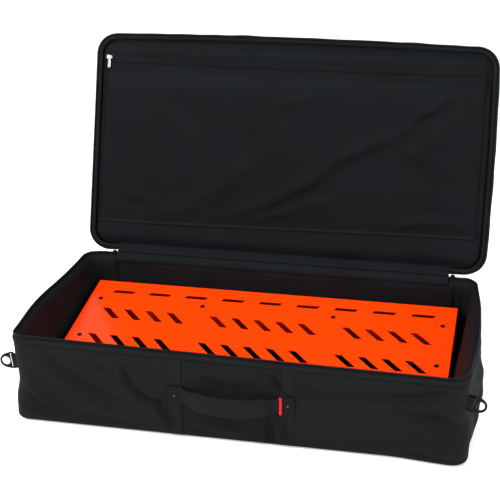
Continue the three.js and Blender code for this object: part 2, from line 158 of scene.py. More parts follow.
def grid(name, points, closed=False, cap_first=False, cap_last=False):
    """A surface through rows of points. closed joins a row's end to its start; a cap fills a row's inside."""
    points = np.asarray(points, float)
    rows, cols = points.shape[:2]
    wrapped = np.concatenate([points, points[:, :1]], axis=1) if closed else points
    uv = np.stack([distances(wrapped, 1)[rows // 2][None, :].repeat(rows, 0), distances(wrapped, 0)], -1)
    i, j = np.meshgrid(np.arange(rows - 1), np.arange(wrapped.shape[1] - 1), indexing="ij")
    k = (j + 1) % cols
    quads = np.stack([i * cols + j, i * cols + k, (i + 1) * cols + k, (i + 1) * cols + j], -1)
    corners = np.stack([uv[i, j], uv[i, j + 1], uv[i + 1, j + 1], uv[i + 1, j]], -2).reshape(-1, 2)
    faces = quads.reshape(-1, 4).tolist()
    for wanted, row, order in ((cap_first, 0, -1), (cap_last, rows - 1, 1)):
        if wanted:
            ring = list(range(row * cols, (row + 1) * cols))[::order]
            faces.append(ring)
            corners = np.concatenate([corners, points.reshape(-1, 3)[ring][:, :2]])
    return new_mesh(name, points.reshape(-1, 3), faces, corners)


def solid_band(name, rows):
    """A closed ring of a closed section: rows[k] is the whole ring at the section's k-th point."""
    rows = np.asarray(rows)
    return grid(name, np.concatenate([rows, rows[:1]]), closed=True)


def edit_mesh(obj, *changes):
    """Puts an object's mesh through changes, each a function of its bmesh, and turns its faces outwards."""
    bm = bmesh.new()
    bm.from_mesh(obj.data)
    for change in changes:
        change(bm)
    bmesh.ops.recalc_face_normals(bm, faces=bm.faces)
    bm.to_mesh(obj.data)
    bm.free()
    return obj


def merge(obj, distance=0.01):
    """Joins points that coincide."""
    return edit_mesh(obj, lambda bm: bmesh.ops.remove_doubles(bm, verts=bm.verts, dist=distance * MM))


def fill_ends(bm):
    """Closes the open ends of a swept section."""
    bmesh.ops.holes_fill(bm, edges=[e for e in bm.edges if e.is_boundary], sides=0)


def modify(obj, kind, **settings):
    modifier = obj.modifiers.new(kind.title(), kind)
    for key, value in settings.items():
        setattr(modifier, key, value)
    return obj


def thicken(obj, thickness, offset=-1):
    return modify(obj, "SOLIDIFY", thickness=thickness * MM, offset=offset)


def round_edges(obj, width, segments=2, angle=35):
    modify(obj, "BEVEL", width=width * MM, segments=segments, limit_method="ANGLE",
           angle_limit=math.radians(angle))
    return obj


def apply_modifiers(obj):
    final = obj.evaluated_get(bpy.context.evaluated_depsgraph_get())
    mesh = bpy.data.meshes.new_from_object(final)
    obj.modifiers.clear()
    obj.data = mesh
    return obj


def joined(name, objects):
    """One object holding several closed shapes."""
    bpy.ops.object.select_all(action="DESELECT")
    for obj in objects:
        apply_modifiers(obj)
        obj.select_set(True)
    bpy.context.view_layer.objects.active = objects[0]
    bpy.ops.object.join()
    objects[0].name = name
    return objects[0]


# ---------------------------------------------------------------- curves and unevenness

def smooth(low, high, x):
    t = np.clip((x - low) / (high - low), 0, 1)
    return t * t * (3 - 2 * t)


def hump(centre, width, x):
    return np.exp(-((x - centre) / width) ** 2)


def track(start, heading, runs, s):
    """Points and right-hand normals at distances s along straight and round runs of (length, curvature)."""
    points, normals = np.zeros((len(s), 2)), np.zeros((len(s), 2))
    at, begin = np.array(start, float), 0.0
    for number, (length, curvature) in enumerate(runs):
        last = number == len(runs) - 1
        mask = (s >= begin - 1e-9) & ((s < begin + length - 1e-9) | last)
        t = np.append(s[mask] - begin, length)
        turned = heading + curvature * t
        if curvature:
            x = (np.sin(turned) - math.sin(heading)) / curvature
            y = (math.cos(heading) - np.cos(turned)) / curvature
        else:
            x, y = t * math.cos(heading), t * math.sin(heading)
        run = at + np.stack([x, y], -1)
        points[mask] = run[:-1]
        normals[mask] = np.stack([np.sin(turned), -np.cos(turned)], -1)[:-1]
        at, heading, begin = run[-1], turned[-1], begin + length
    return points, normals


def rounded_loop(width, depth, radius, centre_y=0.0):
    """Points and outward normals anticlockwise round a rounded rectangle, from the middle of its rear."""
    x, y = width / 2 - radius, depth / 2 - radius
    corner = (radius * math.pi / 2, 1 / radius)
    runs = [(x, 0), corner, (2 * y, 0), corner, (2 * x, 0), corner, (2 * y, 0), corner, (x, 0)]
    total = sum(length for length, _ in runs)
    s = np.arange(LOOP_COUNT) * total / LOOP_COUNT
    return track((0, depth / 2 + centre_y), math.pi, runs, s)


def ripple(x, y, size, seed):
    """Smooth, repeatable unevenness of about unit height, with features about `size` across."""
    waves = 8
    rng = np.random.default_rng(seed)
    total = np.zeros(np.broadcast(x, y).shape)
    for _ in range(waves):
        angle, phase, warp = rng.uniform(0, 2 * math.pi, 3)
        k = 2 * math.pi / (size * rng.uniform(0.8, 2.4))
        along = k * (x * math.cos(angle) + y * math.sin(angle))
        across = k * (y * math.cos(angle) - x * math.sin(angle))
        total = total + np.sin(along + phase + 0.9 * np.sin(0.5 * across + warp))
    return total / math.sqrt(waves)


def fold(x, y, start, end, width, height):
    """A fold in cloth along a line: a ridge with a valley beside it, dying away at both ends."""
    start, end = np.array(start, float), np.array(end, float)
    length = np.linalg.norm(end - start)
    direction = (end - start) / length
    along = ((x - start[0]) * direction[0] + (y - start[1]) * direction[1]) / length
    across = (y - start[1]) * direction[0] - (x - start[0]) * direction[1]
    across = across + 0.06 * length * np.sin(2.6 * along + 0.5)
    taper = smooth(-0.25, 0.25, along) * smooth(1.25, 0.75, along)
    return height * taper * (hump(0, width, across) - 0.7 * hump(-1.5 * width, width, across))


# ---------------------------------------------------------------- materials

class Nodes:
    """A small helper to write a material's node tree; place is each point's own position."""

    def __init__(self, name, **sockets):
        self.material = bpy.data.materials.new(name)
        self.material.use_nodes = True
        self.tree = self.material.node_tree
        self.shader = self.tree.nodes["Principled BSDF"]
        for key, value in sockets.items():
            self.shader.inputs[key.replace("_", " ")].default_value = value
        self.place = self.node("TexCoord").outputs["Object"]

    def node(self, kind, inputs=None, **settings):
        made = self.tree.nodes.new("ShaderNode" + kind)
        for key, value in settings.items():
            setattr(made, key, value)
        for key, value in (inputs or {}).items():
            self.put(made.inputs[key], value)
        return made

    def put(self, socket, value):
        if isinstance(value, bpy.types.NodeSocket):
            self.tree.links.new(value, socket)
        else:
            socket.default_value = value

    def math(self, operation, a, b=0.0):
        return self.node("Math", {0: a, 1: b}, operation=operation).outputs[0]

    def noise(self, vector, scale, detail=3.0, roughness=0.5):
        inputs = {"Vector": vector, "Scale": scale, "Detail": detail, "Roughness": roughness}
        return self.node("TexNoise", inputs).outputs[0]

    def between(self, factor, a, b):
        """Maps a 0..1 value to the range a..b."""
        inputs = {"Value": factor, "To Min": a, "To Max": b}
        return self.node("MapRange", inputs).outputs[0]

    def mix(self, factor, a, b):
        made = self.node("Mix", {0: factor}, data_type="RGBA")
        self.put(made.inputs[6], a)
        self.put(made.inputs[7], b)
        return made.outputs[2]

    def bump(self, height, distance, strength):
        return self.node("Bump", {"Height": height, "Distance": distance, "Strength": strength}).outputs[0]

    def finish(self, colour=None, roughness=None, normal=None):
        for key, value in (("Base Color", colour), ("Roughness", roughness), ("Normal", normal)):
            if value is not None:
                self.put(self.shader.inputs[key], value)
        return self.material


def grey(value, tint=(1.0, 1.0, 1.0)):
    return (*(value * share for share in tint), 1.0)


COOL = (0.95, 0.99, 1.12)
COOLER = (0.8, 0.98, 1.18)


def woven(name, colour, pitch, relief, rough=(0.72, 0.9), rib=1.0, gloss=0.12):
    """Plain-woven cloth: threads over and under each other, with slow changes of tone, painted shade where the
    threads dip, and a little fuzz.
    """
    n = Nodes(name, Specular_IOR_Level=gloss)
    uv = n.node("UVMap").outputs[0]
    scaled = n.node("VectorMath", {0: uv, 1: (1 / (pitch * MM), rib / (pitch * MM), 1)},
                    operation="MULTIPLY").outputs[0]
    split = n.node("SeparateXYZ", {0: scaled}).outputs
    threads = [n.math("ABSOLUTE", n.math("SINE", n.math("MULTIPLY", split[i], math.pi))) for i in (0, 1)]
    over = n.node("TexChecker", {"Vector": scaled, "Scale": 1.0}).outputs[1]
    lifted = n.math("MULTIPLY_ADD", over, 0.6)
    height = n.node("Mix", {0: over, 2: threads[0], 3: threads[1]}, data_type="FLOAT").outputs[0]
    height = n.math("ADD", height, n.math("MULTIPLY", lifted, 0.15))
    cloudy = n.noise(n.place, 9.0, 4.0)
    fuzz = n.noise(n.place, 900.0, 2.0)
    # painted shade: the colour darkens where the threads dip, on top of the cloth's slow random tone
    shade = n.math("MULTIPLY", n.between(cloudy, 0.6, 1.4), n.between(height, 0.72, 1.12))
    shade = n.math("MULTIPLY", shade, n.between(fuzz, 0.8, 1.2))
    tinted = n.node("VectorMath", {0: colour[:3], 3: shade}, operation="SCALE").outputs[0]
    bumpy = n.bump(n.math("ADD", height, n.math("MULTIPLY", fuzz, 0.3)), relief * MM, 0.8)
    return n.finish(tinted, n.between(cloudy, *rough), bumpy)


def powder_coat(name, colour):
    """Glossy powder coat on sheet metal: fine orange peel and faint scuffs."""
    n = Nodes(name, Coat_Weight=0.2, Coat_Roughness=0.08, Specular_IOR_Level=0.08)
    peel = n.noise(n.place, 420.0, 2.0)
    cloudy = n.noise(n.place, 6.0, 3.0)
    stretched = n.node("Mapping", {"Vector": n.place, "Scale": (3.0, 30.0, 30.0)}).outputs[0]
    scuff = n.noise(stretched, 5.0, 8.0, 0.7)
    worn = n.node("ValToRGB", {0: scuff})
    worn.color_ramp.elements[0].position = 0.62
    worn.color_ramp.elements[1].position = 0.78
    deep = tuple(c * 0.9 for c in colour[:3]) + (1.0,)
    tone = n.mix(cloudy, deep, colour)
    rough = n.math("ADD", n.between(cloudy, 0.2, 0.3), n.math("MULTIPLY", worn.outputs[0], 0.12))
    return n.finish(tone, rough, n.bump(peel, 0.02 * MM, 0.5))


def enamel(name, value, rough, gloss):
    """Satin black finish on small pieces, rubbed a little brighter in places."""
    n = Nodes(name, Specular_IOR_Level=gloss)
    cloudy = n.noise(n.place, 60.0, 5.0)
    grain = n.noise(n.place, 1500.0, 2.0)
    tone = n.mix(cloudy, grey(value), grey(value * 1.9))
    return n.finish(tone, n.between(cloudy, rough, rough + 0.15), n.bump(grain, 0.02 * MM, 0.4))


def plated(name):
    """Bright nickel plate with fine wear lines and slightly dull patches."""
    n = Nodes(name, Metallic=1.0)
    stretched = n.node("Mapping", {"Vector": n.place, "Scale": (60.0, 60.0, 1200.0)}).outputs[0]
    lines = n.noise(stretched, 6.0, 4.0)
    dull = n.noise(n.place, 150.0, 4.0)
    tone = n.mix(dull, grey(0.52), grey(0.72))
    return n.finish(tone, n.between(dull, 0.16, 0.34), n.bump(lines, 0.01 * MM, 0.5))


def rubber(name):
    n = Nodes(name, Specular_IOR_Level=0.2)
    grain = n.noise(n.place, 700.0, 3.0)
    dust = n.noise(n.place, 40.0, 5.0)
    return n.finish(n.mix(dust, grey(0.008), grey(0.02)), n.between(dust, 0.7, 0.95),
                    n.bump(grain, 0.1 * MM, 0.5))


def pale_floor(name):
    n = Nodes(name, Roughness=0.9, Emission_Color=grey(1.0), Emission_Strength=0.35)
    cloudy = n.noise(n.place, 0.8, 2.0)
    return n.finish(n.mix(cloudy, grey(0.86), grey(0.9)))


NYLON = woven("outer_nylon", grey(0.0062, COOL), WEAVE, 0.22, gloss=0.1)
LINING = woven("lining_cloth", grey(0.0062, COOLER), 0.6, 0.1, rough=(0.6, 0.8), gloss=0.06)
POCKET = woven("pocket_cloth", grey(0.0052, COOLER), 0.6, 0.1, rough=(0.6, 0.8), gloss=0.06)
WEBBING = woven("webbing", grey(0.0058, COOL), 1.6, 0.35, rib=0.5)
BINDING = woven("edge_binding", grey(0.0075, COOL), 1.1, 0.2, rib=0.35, gloss=0.08)
TAPE = woven("zipper_tape", grey(0.0055, COOL), 0.7, 0.12, rib=0.5, gloss=0.06)
RIBBON = woven("red_ribbon", (0.62, 0.012, 0.016, 1.0), 0.7, 0.15, rib=0.5)
THREAD = enamel("thread", 0.007, 0.6, 0.08)
NYLON_COIL = enamel("zipper_coil", 0.004, 0.45, 0.12)
ORANGE = powder_coat("orange_paint", (1.0, 0.043, 0.0006, 1.0))
BLACK_STEEL = enamel("black_steel", 0.0025, 0.45, 0.09)
BRIGHT_STEEL = plated("bright_steel")
RUBBER = rubber("foot_rubber")


def dress(obj, material, body, slot, *nodes):
    """Gives a piece its material and the body that it rides on, and hides the CAD nodes it stands for; slot is not
    used.
    """
    obj.data.materials.clear()
    obj.data.materials.append(material)
    if body:
        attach(obj, body)
    if nodes:
        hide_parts(*nodes)
    return obj


# ---------------------------------------------------------------- small repeated shapes

def scatter(name, shape, faces, places):
    """Copies of one small closed shape; a place is its centre and its unit axes (along, across, out)."""
    shape = np.asarray(shape, float)
    centres, frames = places
    points = centres[:, None, :] + np.einsum("pk,nkc->npc", shape, frames)
    count = len(shape)
    all_faces = [[v + count * i for v in face] for i in range(len(centres)) for face in faces]
    return new_mesh(name, points.reshape(-1, 3), all_faces)


def capsule(length, radius):
    """A short closed thread along the first axis."""
    sides = 6
    points, faces = [[-length / 2, 0, 0]], []
    for x, size in ((-0.38, 0.8), (0, 1), (0.38, 0.8)):
        points += [[x * length, y, z] for y, z in circle(0, 0, radius * size, count=sides)]
    points.append([length / 2, 0, 0])
    for k in range(sides):
        following = (k + 1) % sides
        faces.append([0, 1 + following, 1 + k])
        for ring in (1, 1 + sides):
            faces.append([ring + k, ring + following, ring + sides + following, ring + sides + k])
        faces.append([len(points) - 1, 1 + 2 * sides + k, 1 + 2 * sides + following])
    return points, faces


def tooth(length, height, thick):
    """One turn of a zipper's coil: a block whose outer side is rounded off."""
    x, y, z = length / 2, thick / 2, height / 2
    points = [[-x, -y, -z], [x, -y, -z], [x, y, -z], [-x, y, -z],
              [-x, -y, z * 0.5], [x, -y, z * 0.5], [x, y, z * 0.5], [-x, y, z * 0.5],
              [-x * 0.7, -y * 0.5, z], [x * 0.7, -y * 0.5, z], [x * 0.7, y * 0.5, z], [-x * 0.7, y * 0.5, z]]
    faces = [[0, 3, 2, 1], [8, 9, 10, 11]]
    for low in (0, 4):
        for k in range(4):
            following = (k + 1) % 4
            faces.append([low + k, low + following, low + 4 + following, low + 4 + k])
    return points, faces


def around(count):
    """Angles spaced evenly round a full turn."""
    return np.arange(count) * 2 * math.pi / count


def unit(vectors):
    return vectors / np.linalg.norm(vectors, axis=1, keepdims=True)


def places_along(points, outward, spacing, phase):
    """Evenly spaced places on a line of points, with axes along it, across it and outwards.

    outward is one direction for the whole line, or one for each of its points.
    """
    points = np.asarray(points, float)
    outward = np.broadcast_to(np.asarray(outward, float), points.shape)
    travelled = distances(points[None], 1)[0]
    s = np.arange(phase, travelled[-1], spacing)

    def at(values, where):
        return np.stack([np.interp(where, travelled, values[:, k]) for k in range(3)], -1)

    along = unit(at(points, s + 0.5) - at(points, s - 0.5))
    out = at(outward, s)
    out = unit(out - along * (out * along).sum(1, keepdims=True))
    return at(points, s), np.stack([along, np.cross(out, along), out], 1)


def stitches(name, points, outward):
    shape, faces = capsule(STITCH, THREAD_R)
    return scatter(name, shape, faces, places_along(points, outward, STITCH + STITCH_GAP, STITCH))


def sew(name, points, outward, body, slot):
    dress(stitches(name, points, outward), THREAD, body, slot)


def zip_coil(name, size, spacing, points, outward, body):
    shape, faces = tooth(*size)
    coil = scatter(name, shape, faces, places_along(points, outward, spacing, 1))
    dress(coil, NYLON_COIL, body, "zipper_tape")


def zip_tape(name, rows, body, node):
    """A tape along an open line; rows[k] is the line at the k-th corner of the tape's section."""
    tape = grid(name, np.swapaxes(np.concatenate([rows, rows[:1]]), 0, 1))
    dress(edit_mesh(merge(tape), fill_ends), TAPE, body, "zipper_tape", node)


def tube(name, points, radius, closed=False, sides=10):
    """A round cord along a line of points, capped when it isn't closed."""
    points = np.asarray(points, float)
    if closed:
        ahead, behind = np.roll(points, -1, 0), np.roll(points, 1, 0)
    else:
        ahead, behind = np.append(points[1:], points[-1:], 0), np.append(points[:1], points[:-1], 0)
    along = unit(ahead - behind)
    side = unit(np.cross(along, np.where(np.abs(along[:, 2:3]) > 0.9, [[1.0, 0, 0]], [[0, 0, 1.0]])))
    up = np.cross(side, along)
    rows = [points + radius * (math.cos(a) * side + math.sin(a) * up)
            for a in around(sides)]
    if closed:
        return merge(solid_band(name, rows))
    body = np.swapaxes(np.array(rows), 0, 1)
    return merge(grid(name, body, closed=True, cap_first=True, cap_last=True))


def fillet(points, radius, steps=4):
    """A closed outline with its corners rounded."""
    points = [np.array(p, float) for p in points]
    rounded = []
    for k, corner in enumerate(points):
        before = points[k - 1] - corner
        after = points[(k + 1) % len(points)] - corner
        reach = min(radius, 0.45 * np.linalg.norm(before), 0.45 * np.linalg.norm(after))
        a = corner + before / np.linalg.norm(before) * reach
        b = corner + after / np.linalg.norm(after) * reach
        for t in np.linspace(0, 1, steps + 1):
            rounded.append((1 - t) ** 2 * a + 2 * t * (1 - t) * corner + t ** 2 * b)
    return rounded


def four_sided(bottom, top, low, high):
    """Corners from the half widths of its lower and upper edges, and the edges' places."""
    return [(-bottom, low), (bottom, low), (top, high), (-top, high)]


def circle(x, y, rx, ry=None, count=32):
    return [(x + rx * math.cos(a), y + (ry or rx) * math.sin(a)) for a in around(count)]


def plate(name, outer, holes, low, high, edge):
    """A flat plate from an outline and its holes, between heights low and high, with rounded edges."""
    curve = bpy.data.curves.new(name, "CURVE")
    curve.dimensions = "2D"
    curve.fill_mode = "BOTH"
    curve.extrude = ((high - low) / 2 - edge) * MM
    curve.bevel_depth = edge * MM
    curve.bevel_resolution = 2
    curve.offset = -edge * MM
    for outline in [outer, *holes]:
        spline = curve.splines.new("POLY")
        spline.points.add(len(outline) - 1)
        for point, (x, y) in zip(spline.points, outline):
            point.co = (x * MM, y * MM, 0, 1)
        spline.use_cyclic_u = True
    drawn = link_object(name, curve)
    mesh = bpy.data.meshes.new_from_object(drawn.evaluated_get(bpy.context.evaluated_depsgraph_get()))
    bpy.data.objects.remove(drawn)
    mesh.transform(Matrix.Translation((0, 0, (low + high) / 2 * MM)))
    return merge(link_object(name, mesh), 0.002)


def move_points(obj, change):
    """Replaces an object's points by change(points), both in millimetres."""
    count = len(obj.data.vertices)
    flat = np.zeros(count * 3)
    obj.data.vertices.foreach_get("co", flat)
    points = change(flat.reshape(-1, 3) / MM)
    obj.data.vertices.foreach_set("co", (np.asarray(points) * MM).ravel())
    obj.data.update()
    return obj


# ---------------------------------------------------------------- the case's walls

FRONT_FOLDS = [  # start and end as (x, z) on the front wall, width, height
    ((-372, 150), (-236, 62), 12, -3.2),
    ((-213, 146), (-205, 106), 7, -2.4),
    ((-208, 112), (-176, 82), 8, -2.5),
    ((-182, 85), (-138, 68), 8, -2.3),
    ((-144, 72), (-116, 24), 8, -2.8),
    ((-268, 150), (-252, 128), 6, -1.6),
    ((-186, 100), (-150, 84), 8, 2.0),
    ((-408, 80), (-345, 32), 8, 3.0),
    ((-425, 45), (-372, 20), 7, -2.2),
    ((-330, 62), (-190, 40), 14, 2.2),
    ((-300, 160), (-180, 140), 10, 1.4),
    ((78, 156), (121, 98), 5, -3.4),
    ((72, 74), (72, 6), 6, -2.6),
    ((108, 74), (109, 8), 6, -2.2),
    ((92, 60), (94, 4), 6, 1.8),
    ((140, 126), (300, 132), 10, -2.4),
    ((300, 132), (412, 150), 9, -2.6),
    ((330, 118), (402, 108), 10, 2.4),
    ((384, 132), (432, 96), 13, 2.6),
    ((419, 88), (441, 30), 7, -2.0),
    ((290, 96), (380, 74), 16, 1.6),
    ((350, 34), (438, 22), 7, 2.2),
    ((250, 26), (360, 40), 9, -1.6),
    ((-60, 150), (40, 140), 12, 1.8),
    ((-70, 40), (40, 22), 12, 1.6),
]

END_FOLDS = [  # start and end as (y, z) on an end wall
    ((-190, 40), (-60, 96), 12, 2.6),
    ((-150, 150), (20, 120), 12, -2.4),
    ((-40, 30), (120, 64), 14, 2.4),
    ((60, 150), (190, 96), 11, -2.2),
    ((110, 24), (200, 44), 8, 2.0),
]

REAR_FOLDS = [  # start and end as (x, z) on the rear wall
    ((-380, 120), (-220, 60), 14, 2.4),
    ((-90, 40), (60, 74), 14, -2.2),
    ((160, 130), (330, 70), 13, 2.4),
    ((-300, 24), (-160, 30), 9, 2.0),
    ((250, 30), (400, 44), 10, -2.0),
]


FOLD_DEPTH = 2.5                # how deep the cloth's folds are, against the tables' heights


def folds(x, y, table):
    return FOLD_DEPTH * sum(fold(x, y, *row) for row in table)


def rim_offset(y, nx):
    """How far the bound rim stands outside the walls' outline: it flares and bows at the two ends."""
    right, left = smooth(0, 1, nx), smooth(0, 1, -nx)
    bow = right * (9 * hump(-50, 140, y) - 10 * smooth(90, 232, y)) + left * 12 * hump(-60, 120, y)
    return RIM_FLARE * (right + left) + bow


def rim_rise(x, ny):
    """The front of the rim hangs a little lower towards the right."""
    return smooth(0, 1, -ny) * (-0.4 - 0.0106 * x)


def wall_offset(x, y, nx, ny, z):
    """How far the outer cloth stands out of the walls' outline at height z."""
    front, rear = smooth(0, 1, -ny), smooth(0, 1, ny)
    right, left = smooth(0, 1, nx), smooth(0, 1, -nx)
    up = np.clip(z / BINDING_Z[0], 0, 1)
    belly = np.sin(math.pi * up)
    calm = 1 - 0.9 * hump(110, 26, np.abs(x)) * hump(HANDLE_Z, 34, z)
    high_belly = np.sin(math.pi * up ** 1.5)
    swell = belly * (3.5 * front * calm * np.cos(math.pi * x / CASE_W / 1.1) + 3 * rear + 1.5 * left)
    swell = swell + front * 12 * smooth(290, 440, x) * smooth(100, 15, z)
    sewn = 1 - 0.85 * hump(-207, 38, y) * hump(118, 34, z) * (right + left)
    swell = swell + sewn * right * high_belly * (13 * hump(-70, 110, y) + 2)
    swell = swell + sewn * right * 10 * smooth(200, 0, y) * smooth(150, 60, z) + left * 9 * smooth(90, 15, z)
    loose = folds(x, z, FRONT_FOLDS) + 0.9 * ripple(x, z, 70, 3) + 0.35 * ripple(x, z, 22, 4)
    loose = front * calm * loose
    loose = loose + sewn * (right + left) * (folds(y, z, END_FOLDS) + 0.9 * ripple(y, z, 60, 5))
    loose = loose + rear * (folds(x, z, REAR_FOLDS) + 0.9 * ripple(x, z, 80, 6))
    loose = loose * smooth(0, 24, z) * smooth(BINDING_Z[0], BINDING_Z[0] - 22, z)
    return swell + loose + rim_offset(y, nx) * smooth(95, BINDING_Z[0], z)


def front_y(x, z):
    """The outer cloth's y on the front wall."""
    x, z = np.broadcast_arrays(np.asarray(x, float), np.asarray(z, float))
    zero, front = np.zeros_like(x), -np.ones_like(x)
    return -CASE_D / 2 - wall_offset(x, np.full_like(x, -CASE_D / 2), zero, front, z)


def base_rows(profile):
    """Rings of points round the base: a profile point is (offset outside the walls' outline, z)."""
    x, y, nx, ny = base_place()
    rows = []
    for offset, z in profile:
        lifted = z + rim_rise(x, ny) * smooth(110, BINDING_Z[0], z)
        rows.append(np.column_stack([x + nx * offset, y + ny * offset, lifted]))
    return rows


BASE_LOOP = rounded_loop(CASE_W, CASE_D, CASE_R)
BASE_OUTWARD = np.column_stack([BASE_LOOP[1], np.zeros(LOOP_COUNT)])


def base_place():
    points, normals = BASE_LOOP
    return (*points.T, *normals.T)


def outer_walls():
    x, y, nx, ny = base_place()
    round_r = 7.0
    profile = [(-60.0, CLOTH), (-30.0, CLOTH), (-14.0, CLOTH)]
    for a in np.linspace(0, math.pi / 2, 7):
        profile.append((-round_r * (1 - math.sin(a)), CLOTH + round_r * (1 - math.cos(a))))
    for z in np.arange(round_r + 3, BINDING_Z[0] + 1.5, 3.2):
        profile.append((0.0, z))
    rows = [(offset + wall_offset(x, y, nx, ny, z), z) for offset, z in profile]
    walls = grid("outer_walls", base_rows(rows), closed=True, cap_first=True)
    thicken(walls, CLOTH)
    dress(walls, NYLON, "case_base", "outer_nylon", "side_fabric", "bottom_panel", "bottom_stiffener")


def rim_section(points):
    """Rings for a closed section drawn as (offset, z) about the bound rim."""
    _, y, nx, _ = base_place()
    return base_rows([(offset + rim_offset(y, nx), z) for offset, z in points])


def rim_binding():
    low, high = BINDING_Z
    middle = (low + high) / 2
    outline = fillet([(-3.4, low - 1), (0.6, low), (1.9, middle), (0.9, high), (-3.4, high + 0.6)], 3, 3)
    band = merge(solid_band("rim_binding_roll", rim_section(outline)))
    dress(band, BINDING, "case_base", "edge_binding", "rim_binding")
    for name, z in (("lower", low + 2.2), ("upper", high - 2.6)):
        line = rim_section([(1.35, z)])[0]
        sew(f"rim_{name}_stitches", line, BASE_OUTWARD, "case_base", "edge_binding")


MAIN_TOOTH = (1.7, 2.6, 3.4)
MAIN_PITCH = 2.4


def base_zipper():
    """The base's half of the zipper, on all of the rim but the hinge's stretch at the rear."""
    ring = rim_section([(0, 180)])[0]
    keep = (ring[:, 1] <= 0) | (np.abs(ring[:, 0]) >= HINGE_HALF + 2)
    low, high = BINDING_Z[1] - 3, ZIP_TOP - 2.3
    section = [(-2.6, low), (-1.2, low), (-1.2, high), (-2.6, high)]
    zip_tape("base_zip_tape", np.array(rim_section(section))[:, keep], "case_base", "base_zipper_tape")
    line = rim_section([(-1.3, ZIP_TOP - 2.0)])[0][keep]
    zip_coil("base_zip_coil", MAIN_TOOTH, MAIN_PITCH, line, BASE_OUTWARD[keep], "case_base")


LINING_SEAMS = {"rear": (-374.0, 391.0), "front": (-380.0, 380.0), "end": (-186.0, 186.0)}


def lining_crease(x, y, nx, ny):
    """1 along the upright seams near the case's corners, and 0 between them."""
    crease = np.zeros_like(x)
    for wall, along, facing in (("rear", x, ny), ("front", x, -ny), ("end", y, np.abs(nx))):
        for place in LINING_SEAMS[wall]:
            crease = crease + smooth(0.5, 1, facing) * hump(place, 3.2, along)
    return np.clip(crease, 0, 1)


def inner_lining():
    x, y, nx, ny = base_place()
    crease = lining_crease(x, y, nx, ny)
    front = smooth(0, 1, -ny)
    profile = [(-70.0, FLOOR_Z), (-44.0, FLOOR_Z), (-32.0, FLOOR_Z + 0.3), (-24.0, FLOOR_Z + 1.8),
               (-19.0, FLOOR_Z + 5), (-16.6, FLOOR_Z + 10)]
    profile += [(-LINING_INSET, z) for z in np.arange(FLOOR_Z + 16, 156, 4.5)]
    turned_in = [(0.0, 160.0), (0.5, 165.0), (1.8, 169.5), (4.2, 173.6), (7.4, 176.3)]
    profile += [(out - LINING_INSET, z) for out, z in turned_in] + [(-6.0, 177.6), (-2.4, 177.2)]
    rows = []
    for offset, z in profile:
        belly = np.sin(math.pi * np.clip((z - FLOOR_Z) / (172 - FLOOR_Z), 0, 1)) ** 0.7
        leaning = 14 * smooth(0, 1, nx) * hump(-30, 170, y) * smooth(20, 90, z) * smooth(176, 120, z)
        padded = (4.5 - 2.6 * front) * belly * (1 - crease) - 4.0 * crease * smooth(14, 40, z) + leaning
        uneven = (0.8 - 0.4 * front) * ripple(np.where(np.abs(nx) > 0.7, y * 1.3 + 900, x), z, 90, 8)
        uneven = uneven * smooth(20, 50, z) * smooth(178, 160, z)
        rows.append((offset - padded - uneven + rim_offset(y, nx) * smooth(60, 168, z), z))
    rings = np.array(base_rows(rows))[:, ::-1]
    lining = thicken(grid("inner_lining", rings, closed=True, cap_first=True), 1.2)
    foam = ["floor_foam", *(f"{wall}_wall_foam" for wall in ("front", "rear", "left", "right"))]
    dress(lining, LINING, "case_base", "lining_cloth", "base_lining", *foam)


# ---------------------------------------------------------------- front webbing and handle

STRAP_X = (98.0, 126.0)
TAB_X = (96.0, 124.0)
TAB_H = 38.0
TAB_OUT = 4.6                   # the tab's outer face, from the wall's flat front


def strip(name, x, z, out, thick):
    """Cloth lying on the front wall over spans of x and z, `out` proud of it but for its outer edge."""
    xs, zs = np.linspace(*x, 13), np.arange(z[0], z[1] + 1.5, 3.0)
    grid_x, grid_z = np.meshgrid(xs, zs)
    outer_edge = max(abs(x[0]), abs(x[1]))
    y = front_y(grid_x, grid_z) - out * smooth(outer_edge, outer_edge - 7, np.abs(grid_x))
    made = grid(name, np.stack([grid_x, y, grid_z], -1))
    return thicken(made, thick)


FORWARDS = (0.0, -1.0, 0.0)


def seam(name, x, z, out):
    """An upright row of stitches on the front wall."""
    zs = np.arange(z[0], z[1], 2.0)
    line = np.column_stack([np.full_like(zs, x), front_y(x, zs) - out, zs])
    sew(name, line, FORWARDS, "case_base", "webbing")


def front_straps():
    for side, sign in SIDES:
        span = sorted(sign * v for v in STRAP_X)
        strap = strip(f"{side}_webbing_strap", span, (5, BINDING_Z[0] + 2), 1.3, 1.2)
        dress(strap, WEBBING, "case_base", "webbing", f"{side}_front_strap")
        for edge, place in zip(("a", "b"), (STRAP_X[0] + 3, STRAP_X[1] - 3)):
            seam(f"{side}_strap_stitches_{edge}", sign * place, (8, BINDING_Z[0]), 1.55)


def box_stitch(name, x, z, y):
    """A square of stitches with a cross through it, on a flat face at y."""
    a, b, c, d = [(x[i], y, z[j]) for i, j in ((0, 0), (1, 0), (1, 1), (0, 1))]
    lines = [(a, b), (b, c), (c, d), (d, a), (a, c), (d, b)]
    return joined(name, [stitches(f"{name}_{number}", np.linspace(*ends, 12), FORWARDS)
                         for number, ends in enumerate(lines)])


